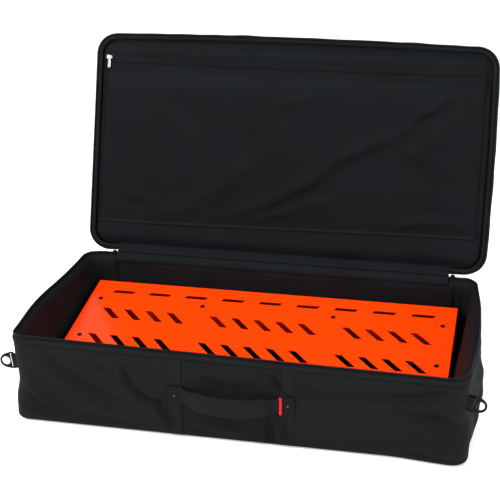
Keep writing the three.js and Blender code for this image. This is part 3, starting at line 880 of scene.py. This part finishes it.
def handle_tabs():
    for side, sign in SIDES:
        span = sorted(sign * v for v in TAB_X)
        z = (HANDLE_Z - TAB_H / 2, HANDLE_Z + TAB_H / 2)
        xs, zs = np.linspace(*span, 15), np.linspace(*z, 15)
        grid_x, grid_z = np.meshgrid(xs, zs)
        across = (grid_x - span[0]) / (span[1] - span[0])
        up = (grid_z - z[0]) / (z[1] - z[0])
        pillow = np.sin(math.pi * across) ** 0.5 * np.sin(math.pi * up) ** 0.5
        lean = 1.2 * (1 - across if sign > 0 else across)
        y = -CASE_D / 2 - TAB_OUT - 1.1 * pillow - lean
        made = thicken(grid(f"handle_{side}_tab_cloth", np.stack([grid_x, y, grid_z], -1)), 2.6)
        dress(made, WEBBING, "case_base", "webbing", f"handle_{side}_tab")
        inner = (span[0] + 4, span[1] - 4)
        cross = box_stitch(f"handle_{side}_tab_stitches", inner, (z[0] + 4, z[1] - 4), y.min() + 0.1)
        dress(cross, THREAD, "case_base", "webbing")


def red_tab():
    """A folded ribbon sewn in beside the handle's right tab."""
    low, high = box_mm("handle_red_tab")
    zs = np.linspace(low[2] + 1, high[2] - 1, 22)
    section = fillet([(low[0] - 1.6, low[1] - 3.2), (high[0] - 2.2, low[1] - 4.0),
                      (high[0] - 2.2, low[1] - 1.6), (low[0] - 1.6, low[1] - 0.8)], 0.8, 3)
    rows = [[(x + 0.8 * math.sin((z - zs[0]) * 0.09), y - 0.6 * math.sin((z - zs[0]) * 0.13), z)
             for x, y in section] for z in zs]
    made = merge(grid("handle_red_tab_ribbon", rows, closed=True, cap_first=True, cap_last=True))
    dress(made, RIBBON, "case_base", "red_ribbon", "handle_red_tab")


GRIP_HALF = 80.0
STRAP_END = 97.0
BOW = 33.0                      # how far the grip's middle stands off the wall's flat front


def grip_line(x):
    """The middle line of the bowed strap: its y, and its height's sag."""
    t = np.clip(np.abs(x) / STRAP_END, 0, 1)
    y = -CASE_D / 2 - 5.5 - BOW * (1 - t ** 2.1) * 0.82
    return y, HANDLE_Z + 3.0 * (t ** 2 - 0.55)


def grip_section(x, half_height, half_thick):
    """A ring of a padded strap's rounded section at x, lying square to its middle line."""
    y, z = grip_line(x)
    slope = math.atan2(grip_line(x + 0.5)[0] - grip_line(x - 0.5)[0], 1.0)
    ring = []
    for a in around(28):
        c, s = math.cos(a), math.sin(a)
        across = half_thick * math.copysign(abs(c) ** 0.7, c)
        up = half_height * math.copysign(abs(s) ** 0.45, s)
        ring.append((x + across * math.sin(slope), y - across * math.cos(slope), z + up))
    return ring


def handle():
    rows = []
    for x in np.linspace(-GRIP_HALF, GRIP_HALF, 61):
        end = smooth(GRIP_HALF, GRIP_HALF - 16, abs(x))
        wobble = 0.25 * math.sin(x * 0.21) + 0.2 * math.sin(x * 0.47 + 1)
        rows.append(grip_section(x, 15.5 + 3.2 * end, 2.6 + 3.9 * end + wobble * end))
    grip = merge(grid("handle_grip_pad", rows, closed=True, cap_first=True, cap_last=True))
    dress(grip, WEBBING, "handle", "webbing", "handle_grip")
    for edge, sign in (("top", 1), ("bottom", -1)):
        x = np.linspace(-GRIP_HALF + 6, GRIP_HALF - 6, 80)
        y, z = grip_line(x)
        end = smooth(GRIP_HALF, GRIP_HALF - 16, np.abs(x))
        line = np.column_stack([x, y - 2.6 - 3.3 * end, z + sign * (12.0 + 2.6 * end)])
        sew(f"handle_{edge}_stitches", line, (0, -1, 0.2 * sign), "handle", "webbing")
    for side, sign in SIDES:
        places = np.linspace(sign * (GRIP_HALF - 8), sign * (STRAP_END + 3), 14)
        rows = [grip_section(x, 15.2, 1.9) for x in places]
        end = merge(grid(f"handle_{side}_strap_end", rows, closed=True, cap_first=True, cap_last=True))
        dress(end, WEBBING, None, "webbing")
        y = -CASE_D / 2 - 6
        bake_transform(end)


# ---------------------------------------------------------------- strap rings

RING_HALF = 18.0
RING_REACH = 30.5


def ring_places():
    for side, sign in SIDES:
        swing = joint(f"{side}_ring_swing")
        centre = np.array(swing["pos_m"]) / MM
        axis = np.array(swing["axis"])
        axis = axis if axis[2] > 0 else -axis
        yield side, sign, centre, axis


def to_ring(points, sign, centre, axis):
    """From a ring's own drawing (x away from the wall, y along the bar, z its thickness) to its place."""
    away = np.cross([0.0, 1.0, 0.0], axis)
    away = away if away[0] * sign > 0 else -away
    thick = np.cross(away, axis)
    return centre + points[:, :1] * away + points[:, 1:2] * axis + points[:, 2:3] * thick


def strap_rings():
    shoulder = 5.0
    t = np.linspace(0, 1, 14)
    x = RING_REACH * (1 - (1 - t) ** 2) + shoulder * (1 - t) ** 2
    y = RING_HALF * (1 - t) ** 2 + 2 * t * (1 - t) * 15
    back = [(-1.75, RING_HALF - 0.1), (-1.75, 0.1 - RING_HALF)]
    outer = back + list(zip(x, -y)) + list(zip(x[::-1], y[::-1]))[1:]
    slot = fillet([(1.75, -14.5), (6.75, -14.5), (6.75, 14.5), (1.75, 14.5)], 1.6, 4)
    for side, sign, centre, axis in ring_places():
        ring = plate(f"{side}_strap_ring", outer, [slot, circle(17.6, 0, 8.6, 8.8)], -1.25, 1.25, 0.7)
        move_points(ring, lambda p: to_ring(p, sign, centre, axis))
        merge(ring, 0.002)
        ring.data.polygons.foreach_set("use_smooth", [False] * len(ring.data.polygons))
        dress(ring, BLACK_STEEL, f"{side}_ring", "black_steel", f"{side}_ring")


def ring_loops():
    """Webbing sewn to the wall, folded round the ring's bar."""
    for side, sign, centre, axis in ring_places():
        wall = WALL_HIGH[0] - 2
        reach = abs(centre[0]) - wall
        angles = np.linspace(-math.pi / 2, math.pi / 2, 12)
        near = [(-reach - 1, -13.0), (-reach, -8.0), (-reach * 0.75, -4.6)]
        round_bar = [(4.0 * math.cos(a), 4.0 * math.sin(a)) for a in angles]
        path = near + round_bar + [(x, -y) for x, y in reversed(near)]
        rows = []
        for u in np.linspace(-13, 13, 12):
            pinch = 1 - 0.05 * (u / 13) ** 2
            points = np.array([(x, u, y * pinch) for x, y in path])
            placed = to_ring(points, sign, centre, axis)
            limit = sign * (wall + 1.0)
            placed[:, 0] = np.maximum(placed[:, 0], limit) if sign > 0 else np.minimum(placed[:, 0], limit)
            rows.append(placed)
        loop = thicken(grid(f"{side}_ring_webbing", rows), 1.5, 0)
        dress(loop, WEBBING, "case_base", "webbing", f"{side}_ring_loop")


# ---------------------------------------------------------------- the lid

LID_TURN = np.array(Matrix.Rotation(-LID_OPEN, 3, "X"))
LID_INWARD = -LID_TURN[:, 2]


def lid_world(points):
    return np.asarray(points, float) @ LID_TURN.T + HINGE


LID_LOOP = rounded_loop(LID_W, LID_D, LID_R, LID_CENTRE_Y)


def lid_bow(x, y):
    """The lid's edges are soft: its far edge bows out, and its sides a little."""
    length = np.clip(-y / LID_D, 0, 1)
    far = 8.5 * smooth(0.9, 1.0, length) * np.cos(math.pi * x / LID_W / 1.25)
    return far + 6 * smooth(380, 440, x) * np.sqrt(np.sin(math.pi * 0.98 * length))


def lid_rows(profile):
    """Rings round the lid, drawn closed: a profile point is (offset outside its outline, z)."""
    points, normals = LID_LOOP
    rows = []
    for offset, z in profile:
        bowed = np.broadcast_to(offset, len(points)) + lid_bow(*points.T)
        flat = points + normals * bowed[:, None]
        rows.append(np.column_stack([flat, np.broadcast_to(z, len(points))]))
    return rows


def towards_middle(ring, shares, heights):
    """Rings shrinking to the lid's middle; heights(x, y, share) gives z."""
    middle = np.array([0.0, LID_CENTRE_Y, 0.0])
    rows = []
    for share in shares:
        row = middle + (ring - middle) * share
        row[:, 2] = heights(row[:, 0], row[:, 1], share)
        rows.append(row)
    return rows


def in_lid(name, rows, **options):
    return grid(name, lid_world(rows), **options)


PANEL_FOLDS = [  # the lid's outside
    ((-330, -120), (-120, -190), 18, 2.2),
    ((-60, -330), (180, -280), 20, 2.0),
    ((200, -90), (360, -170), 16, -2.0),
    ((-300, -400), (-160, -360), 16, -1.8),
]


def lid_shell():
    edge = lid_rows([(-7.0, LID_H)])[0]

    def dome(x, y, share):
        swell = 3.0 * np.cos(math.pi * x / LID_W) * np.sin(math.pi * np.clip(-y / LID_D, 0, 1))
        loose = folds(x, y, PANEL_FOLDS) + 0.8 * ripple(x, y, 110, 21)
        return LID_H + swell + loose * smooth(1.0, 0.9, share)

    shares = np.append(np.linspace(1, 0.05, 46), 0.02)
    panel = in_lid("lid_outside", towards_middle(edge, shares, dome), closed=True, cap_last=True)
    thicken(panel, CLOTH)
    dress(panel, NYLON, "lid", "outer_nylon", "lid_outer_panel")
    travelled = np.arange(LOOP_COUNT) * 4.3
    side = [(math.sin(math.pi * t) * (2.0 + 0.5 * ripple(travelled, t * 20, 60, 23)), 10 + 16 * t)
            for t in np.linspace(0, 1, 8)]
    side += [(-7 * (1 - math.cos(a)), 26 + 6 * math.sin(a)) for a in np.linspace(0.2, math.pi / 2, 6)]
    gusset = in_lid("lid_side_cloth", lid_rows(side), closed=True)
    thicken(gusset, CLOTH)
    dress(gusset, NYLON, "lid", "outer_nylon", "lid_gusset")
    cord = lid_rows([(-1.2, 29.6)])[0]
    piping = tube("lid_piping", lid_world(cord), 2.0, closed=True, sides=8)
    dress(piping, BINDING, "lid", "edge_binding")


def lid_binding():
    """The rolled binding inside the lid's edge, between the zipper and the lining."""
    outline = fillet([(-1.2, 10.6), (-2.4, 7.4), (-7.0, 6.2), (-11.5, 8.4), (-12.5, 12.0), (-5, 13.4)], 4, 3)
    roll = merge(solid_band("lid_binding_roll", lid_world(lid_rows(outline))))
    dress(roll, BINDING, "lid", "edge_binding", "lid_border")
    line = lid_world(lid_rows([(-10.6, 7.35)])[0])
    sew("lid_binding_stitches", line, LID_INWARD, "lid", "edge_binding")


def lid_zipper():
    """The lid's half of the zipper, on all of its edge but the hinge's stretch."""
    points, normals = LID_LOOP
    rear_y = LID_CENTRE_Y + LID_D / 2 - LID_R
    keep = (points[:, 1] <= rear_y) | (np.abs(points[:, 0]) >= LID_ZIP_HALF)
    section = [(-0.6, 11.0), (-2.0, 11.0), (-2.0, 5.6), (-0.6, 5.6)]
    zip_tape("lid_zip_tape", lid_world(lid_rows(section))[:, keep], "lid", "lid_zipper_tape")
    line = lid_world(lid_rows([(-1.3, 5.3)])[0][keep])
    outward = np.column_stack([normals, np.zeros(LOOP_COUNT)])[keep] @ LID_TURN.T
    zip_coil("lid_zip_coil", MAIN_TOOTH, MAIN_PITCH, line, outward, "lid")


POCKET_X = 428.0
POCKET_BOTTOM = 68.0            # along the lid from the hinge
POCKET_TOP = 430.0
POCKET_SEAM_RISE = 13.0         # the pocket's bottom seam climbs to the right
POCKET_ZIP_Z = 10.2             # the plane in which the pocket's slider runs


def lining_height(x, y):
    """z of the lid's padded lining, drawn closed; smaller is nearer to the viewer."""
    s = -y
    inset = np.minimum(LID_W / 2 - np.abs(x), np.minimum(s - 3, LID_D + 3 - s))
    rise = smooth(10, 34, inset)
    swell = np.cos(math.pi * x / LID_W) * np.sin(math.pi * np.clip(s / LID_D, 0, 1))
    low_roll = 3.0 * hump(44, 26, s) * smooth(0, 60, LID_W / 2 - np.abs(x))
    hollow = 4.2 * smooth(POCKET_TOP - 42, POCKET_TOP - 8, s)
    return 15.0 - 6.0 * rise - 1.5 * swell - low_roll + 0.5 * ripple(x, y, 120, 31) * rise + hollow


LID_FOLDS = [  # start and end as (x, y) inside the lid, drawn closed
    ((424, -438), (366, -398), 9, -2.4),
    ((372, -402), (284, -338), 10, -2.6),
    ((-100, -60), (6, -112), 12, -2.2),
    ((0, -110), (110, -146), 13, -2.2),
    ((70, -410), (-30, -370), 14, 1.6),
    ((300, -345), (110, -235), 16, -2.6),
    ((130, -250), (-110, -90), 18, -2.4),
    ((436, -448), (240, -290), 26, 2.2),
    ((-20, -330), (-260, -130), 24, 1.8),
    ((-330, -330), (-200, -250), 20, -1.6),
    ((-400, -120), (-300, -90), 14, 1.6),
    ((180, -250), (330, -200), 22, 1.6),
    ((250, -90), (400, -110), 14, -1.8),
]


def lid_lining():
    ring = lid_rows([(-12.0, 13.5)])[0]
    shares = np.append(np.linspace(1, 0.1, 52), 0.03)

    def heights(x, y, share):
        return np.where(share > 0.999, 14.5, lining_height(x, y))

    rows = towards_middle(ring, shares, heights)
    lining = in_lid("lid_padded_lining", np.array(rows)[:, ::-1], closed=True, cap_last=True)
    thicken(lining, 1.2)
    dress(lining, LINING, "lid", "lining_cloth", "lid_lining", "lid_foam")


def pocket_bottom(x):
    return POCKET_BOTTOM + POCKET_SEAM_RISE * smooth(-380, 440, x)


def pocket_top(x):
    return POCKET_TOP + 2 * smooth(100, 430, x)


def pocket_height(x, y):
    """z of the pocket's cloth: sewn down at its sides and bottom, and loose between."""
    s = -y
    edge = np.minimum(POCKET_X - np.abs(x), (s - pocket_bottom(x)) * 1.2)
    loose = smooth(0, 40, edge)
    zipped = smooth(POCKET_TOP - 56, POCKET_TOP - 18, s)
    wrinkles = folds(x, y, LID_FOLDS) + 1.3 * ripple(x, y, 150, 33) + 0.5 * ripple(x, y, 45, 34)
    height = lining_height(x, y) - 1.4 - loose * np.logaddexp(0, 2.4 - 0.9 * wrinkles)
    return height * (1 - zipped) + (POCKET_ZIP_Z + 0.8) * zipped


def zip_plane(x, _y):
    return np.full_like(x, POCKET_ZIP_Z)


def patch(name, half, bottom, top, height, shape):
    """A piece of cloth inside the lid, between two lines given as distances from the hinge."""
    xs = np.linspace(-half, half, shape[0])
    rows = []
    for t in np.linspace(0, 1, shape[1]):
        y = -(bottom(xs) * (1 - t) + top(xs) * t)
        rows.append(np.column_stack([xs, y, height(xs, y)]))
    return in_lid(name, rows)


def pocket():
    half = POCKET_X
    panel = patch("pocket_cloth_panel", half, pocket_bottom, pocket_top, pocket_height, (220, 100))
    thicken(panel, 0.8)
    dress(panel, POCKET, "lid", "lining_cloth", "pocket_panel")
    hem = patch("pocket_bottom_hem", half, lambda x: pocket_bottom(x) - 1.5,
                lambda x: pocket_bottom(x) + 5, lambda x, y: lining_height(x, y) - 2.6, (160, 6))
    thicken(hem, 1.0)
    dress(hem, BINDING, "lid", "edge_binding")
    pocket_zipper()


def pocket_zipper():
    half = 425.0
    for name, low, high in (("lower", 0.0, 9.4), ("upper", 12.6, 22.0)):
        tape = patch(f"pocket_zip_{name}_tape", half, lambda x: pocket_top(x) - 2 + low,
                     lambda x: pocket_top(x) - 2 + high, zip_plane, (160, 5))
        thicken(tape, 0.9)
        dress(tape, TAPE, "lid", "zipper_tape", *(["pocket_zipper_tape"] if low == 0 else []))
    xs = np.linspace(-half + 14, half - 2, 300)

    def zip_line(s, lift):
        """A line along the zipper, s past the pocket's top edge and raised by lift towards the lining."""
        return lid_world(np.column_stack([xs, -(pocket_top(xs) + s), np.full_like(xs, POCKET_ZIP_Z + lift)]))

    zip_coil("pocket_zip_coil", (1.2, 1.0, 5.0), 1.9, zip_line(9, 0.3), LID_INWARD, "lid")
    for name, s in (("lower", 1.0), ("upper", 17.0)):
        sew(f"pocket_zip_{name}_stitches", zip_line(s, -0.1), LID_INWARD, "lid", "zipper_tape")


def hinge_cloth(name, path, half, node, outer):
    """One cloth across the hinge, along a path of (y, z)."""
    path = np.array(path, float)
    travelled = distances(path[None], 1)[0]
    s = np.linspace(0, travelled[-1], 26)
    line = np.stack([np.interp(s, travelled, path[:, k]) for k in (0, 1)], -1)
    for _ in range(2):
        line[1:-1] = (line[:-2] + 2 * line[1:-1] + line[2:]) / 4
    xs = np.linspace(-half, half, 170)
    rows = [np.column_stack([xs, y + 0.5 * ripple(xs, 2 * at, 80, 41), np.full_like(xs, z)])
            for at, (y, z) in zip(s, line)]
    cloth = grid(name, np.array(rows)[:, ::-1] if outer else rows)
    apply_modifiers(thicken(cloth, 1.6, 0))
    dress(cloth, NYLON if outer else LINING, None, "outer_nylon", node)
    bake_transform(cloth)


def hinge_cloths():
    """Cloth across the hinge: inside from the rear wall's lining to the lid's, and outside behind it."""
    cord = [(x, 234.5 + 0.4 * math.sin(x * 0.03), 188.8) for x in np.linspace(-375, 375, 160)]
    dress(tube("hinge_piping", cord, 1.9, sides=10), BINDING, "case_base", "edge_binding")
    inside = [(226.0, 155), (224.0, 162), (221.0, 169.5), (223.0, 175.5), (228.4, 181.5), (234.6, 186.6),
              (242.0, 190.6), (249.0, 194.2), (254.5, 197.4), (257.5, 199.6)]
    outside = [(240.2, 150), (240.6, 160), (241.2, 169), (242.0, 176), (244.5, 180.6), (249.0, 182.0),
               (256.0, 180.4), (263.0, 178.4)]
    hinge_cloth("hinge_inner_cloth", inside, 376.0, "base_hinge_strip", False)
    hinge_cloth("hinge_outer_cloth", outside, HINGE_HALF, "lid_hinge_strip", True)


# ---------------------------------------------------------------- zipper sliders and pullers

METALS = {"black_steel": BLACK_STEEL, "bright_steel": BRIGHT_STEEL}


def middle(node):
    low, high = box_mm(node)
    return (low + high) / 2, high - low


def fitting(name, parts, node, axes, slot):
    """Joins a metal fitting's parts and sets them at its node, along axes (across, along, out)."""
    centre, _ = middle(node)
    made = joined(name, parts)
    move_points(made, lambda p: centre + p @ np.array(axes, float))
    merge(made, 0.001)
    dress(made, METALS[slot], node, slot, node)


def slider(name, node, axes, size, slot):
    """A zipper slider: two rounded cheeks, with a bridge over the front one for its puller."""
    width, length, deep = size
    cheek, lip = deep * 0.26, deep * 0.12
    heart = fillet(four_sided(width / 2, width * 0.36, -length / 2, length / 2), width * 0.28, 5)
    t = np.linspace(0, 1, 12)
    arc = np.column_stack([0 * t, length * (0.6 * t - 0.3), deep * (0.3 + 0.34 * np.sin(math.pi * t))])
    parts = [plate(name, heart, [], -deep / 2, -deep / 2 + cheek, cheek * 0.4),
             plate(name + "_b", heart, [], deep / 2 - cheek - lip, deep / 2 - lip, cheek * 0.4),
             tube(name + "_c", arc, 0.75, sides=8)]
    fitting(name, parts, node, axes, slot)


def puller(name, node, axes, size, eye, slot):
    """A zipper puller: a tapered plate with an eye, hanging from its upper end."""
    width, length, thick = size
    right = [(width * 0.42, -length / 2), (width / 2, -length * 0.3), (width * 0.32, length / 2)]
    outline = fillet([(-x, y) for x, y in reversed(right)] + right, width * 0.3, 5)
    (eye_w, eye_h), eye_y = eye, length / 2 - eye[1] / 2 - 1.4
    hole = fillet(four_sided(eye_w / 2, eye_w / 2, eye_y - eye_h / 2, eye_y + eye_h / 2), eye_h * 0.4, 4)
    groove = fillet(four_sided(width * 0.2, width * 0.16, -length * 0.36, length * 0.1), width * 0.15, 4)
    parts = [plate(name, outline, [hole], -thick / 2, thick / 2, thick * 0.28),
             plate(name + "_b", groove, [], thick * 0.4, thick * 0.7, thick * 0.12)]
    fitting(name, parts, node, axes, slot)


def main_sliders():
    for side, _ in SIDES:
        node = f"{side}_zip_slider"
        _, (wide, deep, high) = middle(node)
        axes = ((1, 0, 0), (0, 0, 1), (0, 1, 0))
        slider(f"{side}_slider", node, axes, (wide * 0.86, high * 1.2, deep), "black_steel")
        node = f"{side}_zip_puller"
        _, (wide, deep, high) = middle(node)
        axes = ((-1, 0, 0), (0, 0, 1), (0, 1, 0))
        puller(f"{side}_puller", node, axes, (wide, high, deep), (4.4, 4.6), "black_steel")


def pocket_pull():
    """Nickel slider and puller of the lid's pocket, drawn closed and turned with the lid."""
    along_x, along_y, along_z = LID_TURN.T
    slider("pocket_zip_slider", "pocket_slider", (along_y, along_x, -along_z), (9.5, 12.5, 5.0),
           "bright_steel")
    puller("pocket_zip_puller", "pocket_puller", (along_x, -along_y, -along_z), (7, 26, 1.5), (3.6, 3.2),
           "bright_steel")


# ---------------------------------------------------------------- the pedalboard

LONG_SLOT = (49, 12.4, -6)      # width, height and lean
LONG_PITCH = 84
UPRIGHT_SLOT = (17.4, 40.4, 35)
UPRIGHT_PITCH = 48.47
UPRIGHT_ROWS = (134, 237.7, 341.4)      # distances from the deck's rear edge


def slot_outline(x, v, width, height, lean):
    """A parallelogram slot; lean is how far its front edge lies along x from its rear edge."""
    half = width / 2
    corners = [(-half + lean / 2, -height / 2), (half + lean / 2, -height / 2),
               (half - lean / 2, height / 2), (-half - lean / 2, height / 2)]
    return fillet([(x + dx, -v + dy) for dx, dy in corners], 1.6, 3)


def deck_slots():
    """Nine long slots along the rear, then three rows of thirteen upright ones in three groups."""
    slots = [slot_outline((i - 4) * LONG_PITCH, 45.4, *LONG_SLOT) for i in range(9)]
    for v in UPRIGHT_ROWS:
        slots += [slot_outline((i - 7) * UPRIGHT_PITCH, v, *UPRIGHT_SLOT) for i in range(15)
                  if i not in (4, 10)]
    return slots


SCREWS = {  # how far each kind stands from the deck's middle, and its rows' distances from the rear edge
    "end": (380, (80.6, 228.8, 377)),
    "rib": (145.4, (80.6, 377)),
}


def screw_places():
    return [(sign * x, v) for x, rows in SCREWS.values() for _, sign in SIDES for v in rows]


def bent_sheet():
    """One bent sheet: rear panel, slotted deck and front panel, drawn flat and then folded."""
    rear_y = box_mm("rear_panel")[1][1]
    front_y_low = box_mm("front_panel")[0][1]
    rear_top = np.array([rear_y, DECK_REAR[1] - (DECK_REAR[0] - rear_y) * math.tan(TILT)])
    front_top_z = DECK_REAR[1] - (DECK_REAR[0] - front_y_low) * math.tan(TILT)
    deck = (rear_y - front_y_low) / math.cos(TILT)
    turn_rear, turn_front = math.pi / 2 + TILT, math.pi / 2 - TILT
    cut_rear, cut_front = BEND_R * math.tan(turn_rear / 2), BEND_R * math.tan(turn_front / 2)
    runs = [(rear_top[1] - LEG_BOTTOM - cut_rear, 0), (BEND_R * turn_rear, 1 / BEND_R),
            (deck - cut_rear - cut_front, 0), (BEND_R * turn_front, 1 / BEND_R),
            (front_top_z - LEG_BOTTOM - cut_front, 0)]
    starts = np.cumsum([0] + [length for length, _ in runs])
    deck_zero = starts[2] - cut_rear + (DECK_REAR[0] - rear_y) / math.cos(TILT)
    half, narrow = BOARD_W / 2, BOARD_W / 2 - 3
    right = [(narrow, 0), (narrow, 2 - starts[1]), (half, 1 - starts[2]), (half, -starts[3] - 1),
             (narrow, -starts[4] - 2), (narrow, -starts[5])]
    outer = fillet(right + [(-x, y) for x, y in reversed(right)], 2.5, 4)
    holes = [[(x, y - deck_zero) for x, y in outline] for outline in deck_slots()]
    holes += [[(x, y - deck_zero) for x, y in circle(px, -v, 2.4, count=16)] for px, v in screw_places()]
    sheet = plate("bent_deck_sheet", outer, holes, -SHEET, 0, 0.5)

    def cut_at_bends(bm):
        for cut in [*np.linspace(*starts[1:3], 9), *np.linspace(*starts[3:5], 9)]:
            everything = bm.verts[:] + bm.edges[:] + bm.faces[:]
            bmesh.ops.bisect_plane(bm, geom=everything, plane_co=(0, -cut * MM, 0), plane_no=(0, 1, 0))

    def bend_points(points):
        line, normal = track((rear_y, LEG_BOTTOM), math.pi / 2, runs, -points[:, 1])
        placed = line + normal * points[:, 2:3]
        return np.column_stack([points[:, 0] + BOARD_X, placed])

    move_points(edit_mesh(sheet, cut_at_bends), bend_points)
    dress(sheet, ORANGE, "pedalboard", "orange_paint", "deck_plate", "rear_panel", "front_panel")


def deck_world(points):
    """From the deck's own frame (x, along it to the rear, above it) to its place."""
    turn = np.array(Matrix.Rotation(TILT, 3, "X"))
    return np.asarray(points, float) @ turn.T + np.array([BOARD_X, DECK_REAR[0], DECK_REAR[1]])


def button_screw(name, x, v, node):
    """A button-head screw with a hexagon socket, and its shank below."""
    angles = around(24)

    def ring(radius, z, hexagon=False):
        size = radius / np.cos((angles % (math.pi / 3)) - math.pi / 6) if hexagon else radius
        return np.column_stack([np.cos(angles) * size, np.sin(angles) * size, np.full(len(angles), z)])

    rows = [ring(2.0, -9.0), ring(2.0, 0.2), ring(5.1, 0.2), ring(5.3, 0.5), ring(5.2, 1.1),
            ring(4.6, 1.9), ring(3.4, 2.6), ring(2.4, 2.9), ring(1.75, 2.95, True), ring(1.6, 2.8, True),
            ring(1.55, 1.0, True)]
    placed = deck_world(np.array(rows) + [x, -v, 0.15])
    made = grid(name, placed, closed=True, cap_first=True, cap_last=True)
    round_edges(merge(made), 0.15, 1, 50)
    dress(made, BLACK_STEEL, "pedalboard", "black_steel", node)


def deck_screws():
    for side, sign in SIDES:
        for kind, (x, rows) in SCREWS.items():
            for number, v in enumerate(rows, 1):
                button_screw(f"{side}_{kind}_button_{number}", sign * x, v, f"{side}_{kind}_screw_{number}")


def carried_over():
    """CAD pieces whose shape is right: they get finer edges and their own materials."""
    looks = {"orange_paint": (ORANGE, 0.5), "foot_rubber": (RUBBER, 0.8),
             "bright_steel": (BRIGHT_STEEL, 0.25)}
    for row in frame["record"]["subparts"]:
        node = frame["nodes"][row["node"]]
        if node.hide_render or row["material_slot"] not in looks:
            continue
        material, edge = looks[row["material_slot"]]
        node.data.materials.clear()
        node.data.materials.append(material)
        round_edges(node, edge)


# ---------------------------------------------------------------- camera, light and floor

CAMERA_PLACE = (0.5194, -2.3708, 1.2719)    # metres
CAMERA_TURN = (68.380, 0.542, 12.439)       # pitch, roll and heading in degrees
LENS = 92.65
FLOOR_HALF = 30000.0


def camera():
    data = bpy.data.cameras.new("camera")
    data.sensor_width = 36.0
    data.lens = LENS
    data.clip_end = 100
    made = link_object("camera", data)
    turn = Euler([math.radians(angle) for angle in CAMERA_TURN])
    made.matrix_world = Matrix.LocRotScale(CAMERA_PLACE, turn, (1, 1, 1))
    bpy.context.scene.camera = made


def area_light(name, place, target, size, power):
    data = bpy.data.lights.new(name, "AREA")
    data.shape = "RECTANGLE"
    data.size, data.size_y = size
    data.energy = power
    made = link_object(name, data)
    made.location = place
    aim = Vector(target) - Vector(place)
    made.rotation_euler = aim.to_track_quat("-Z", "Y").to_euler()


def studio():
    world = bpy.data.worlds.new("studio")
    world.use_nodes = True
    background = world.node_tree.nodes["Background"]
    background.inputs[0].default_value = (1.0, 1.0, 1.0, 1.0)
    background.inputs[1].default_value = 0.8
    bpy.context.scene.world = world
    area_light("key", (-1.8, -1.6, 2.6), (0, 0, 0.1), (1.2, 1.2), 95)
    area_light("fill", (2.4, -1.4, 1.4), (0, 0, 0.2), (1.2, 1.6), 36)
    area_light("top", (0, 0.4, 3.0), (0, 0, 0), (3.0, 2.0), 40)
    corners = four_sided(FLOOR_HALF, FLOOR_HALF, -FLOOR_HALF, FLOOR_HALF)
    floor = new_mesh("floor", [(*corner, -1) for corner in corners], [[0, 1, 2, 3]])
    floor.data.materials.append(pale_floor("floor_paint"))
    floor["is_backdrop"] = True
    view = bpy.context.scene.view_settings
    view.view_transform = "Standard"
    view.look = "None"


camera()
outer_walls()
rim_binding()
base_zipper()
inner_lining()
front_straps()
handle_tabs()
red_tab()
handle()
strap_rings()
ring_loops()
lid_shell()
lid_binding()
lid_zipper()
lid_lining()
pocket()
hinge_cloths()
main_sliders()
pocket_pull()
bent_sheet()
deck_screws()
carried_over()
studio()

boxes = {"cad": cad_box, "visual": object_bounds()}
{key: [list(corner) for corner in box] for key, box in boxes.items()}
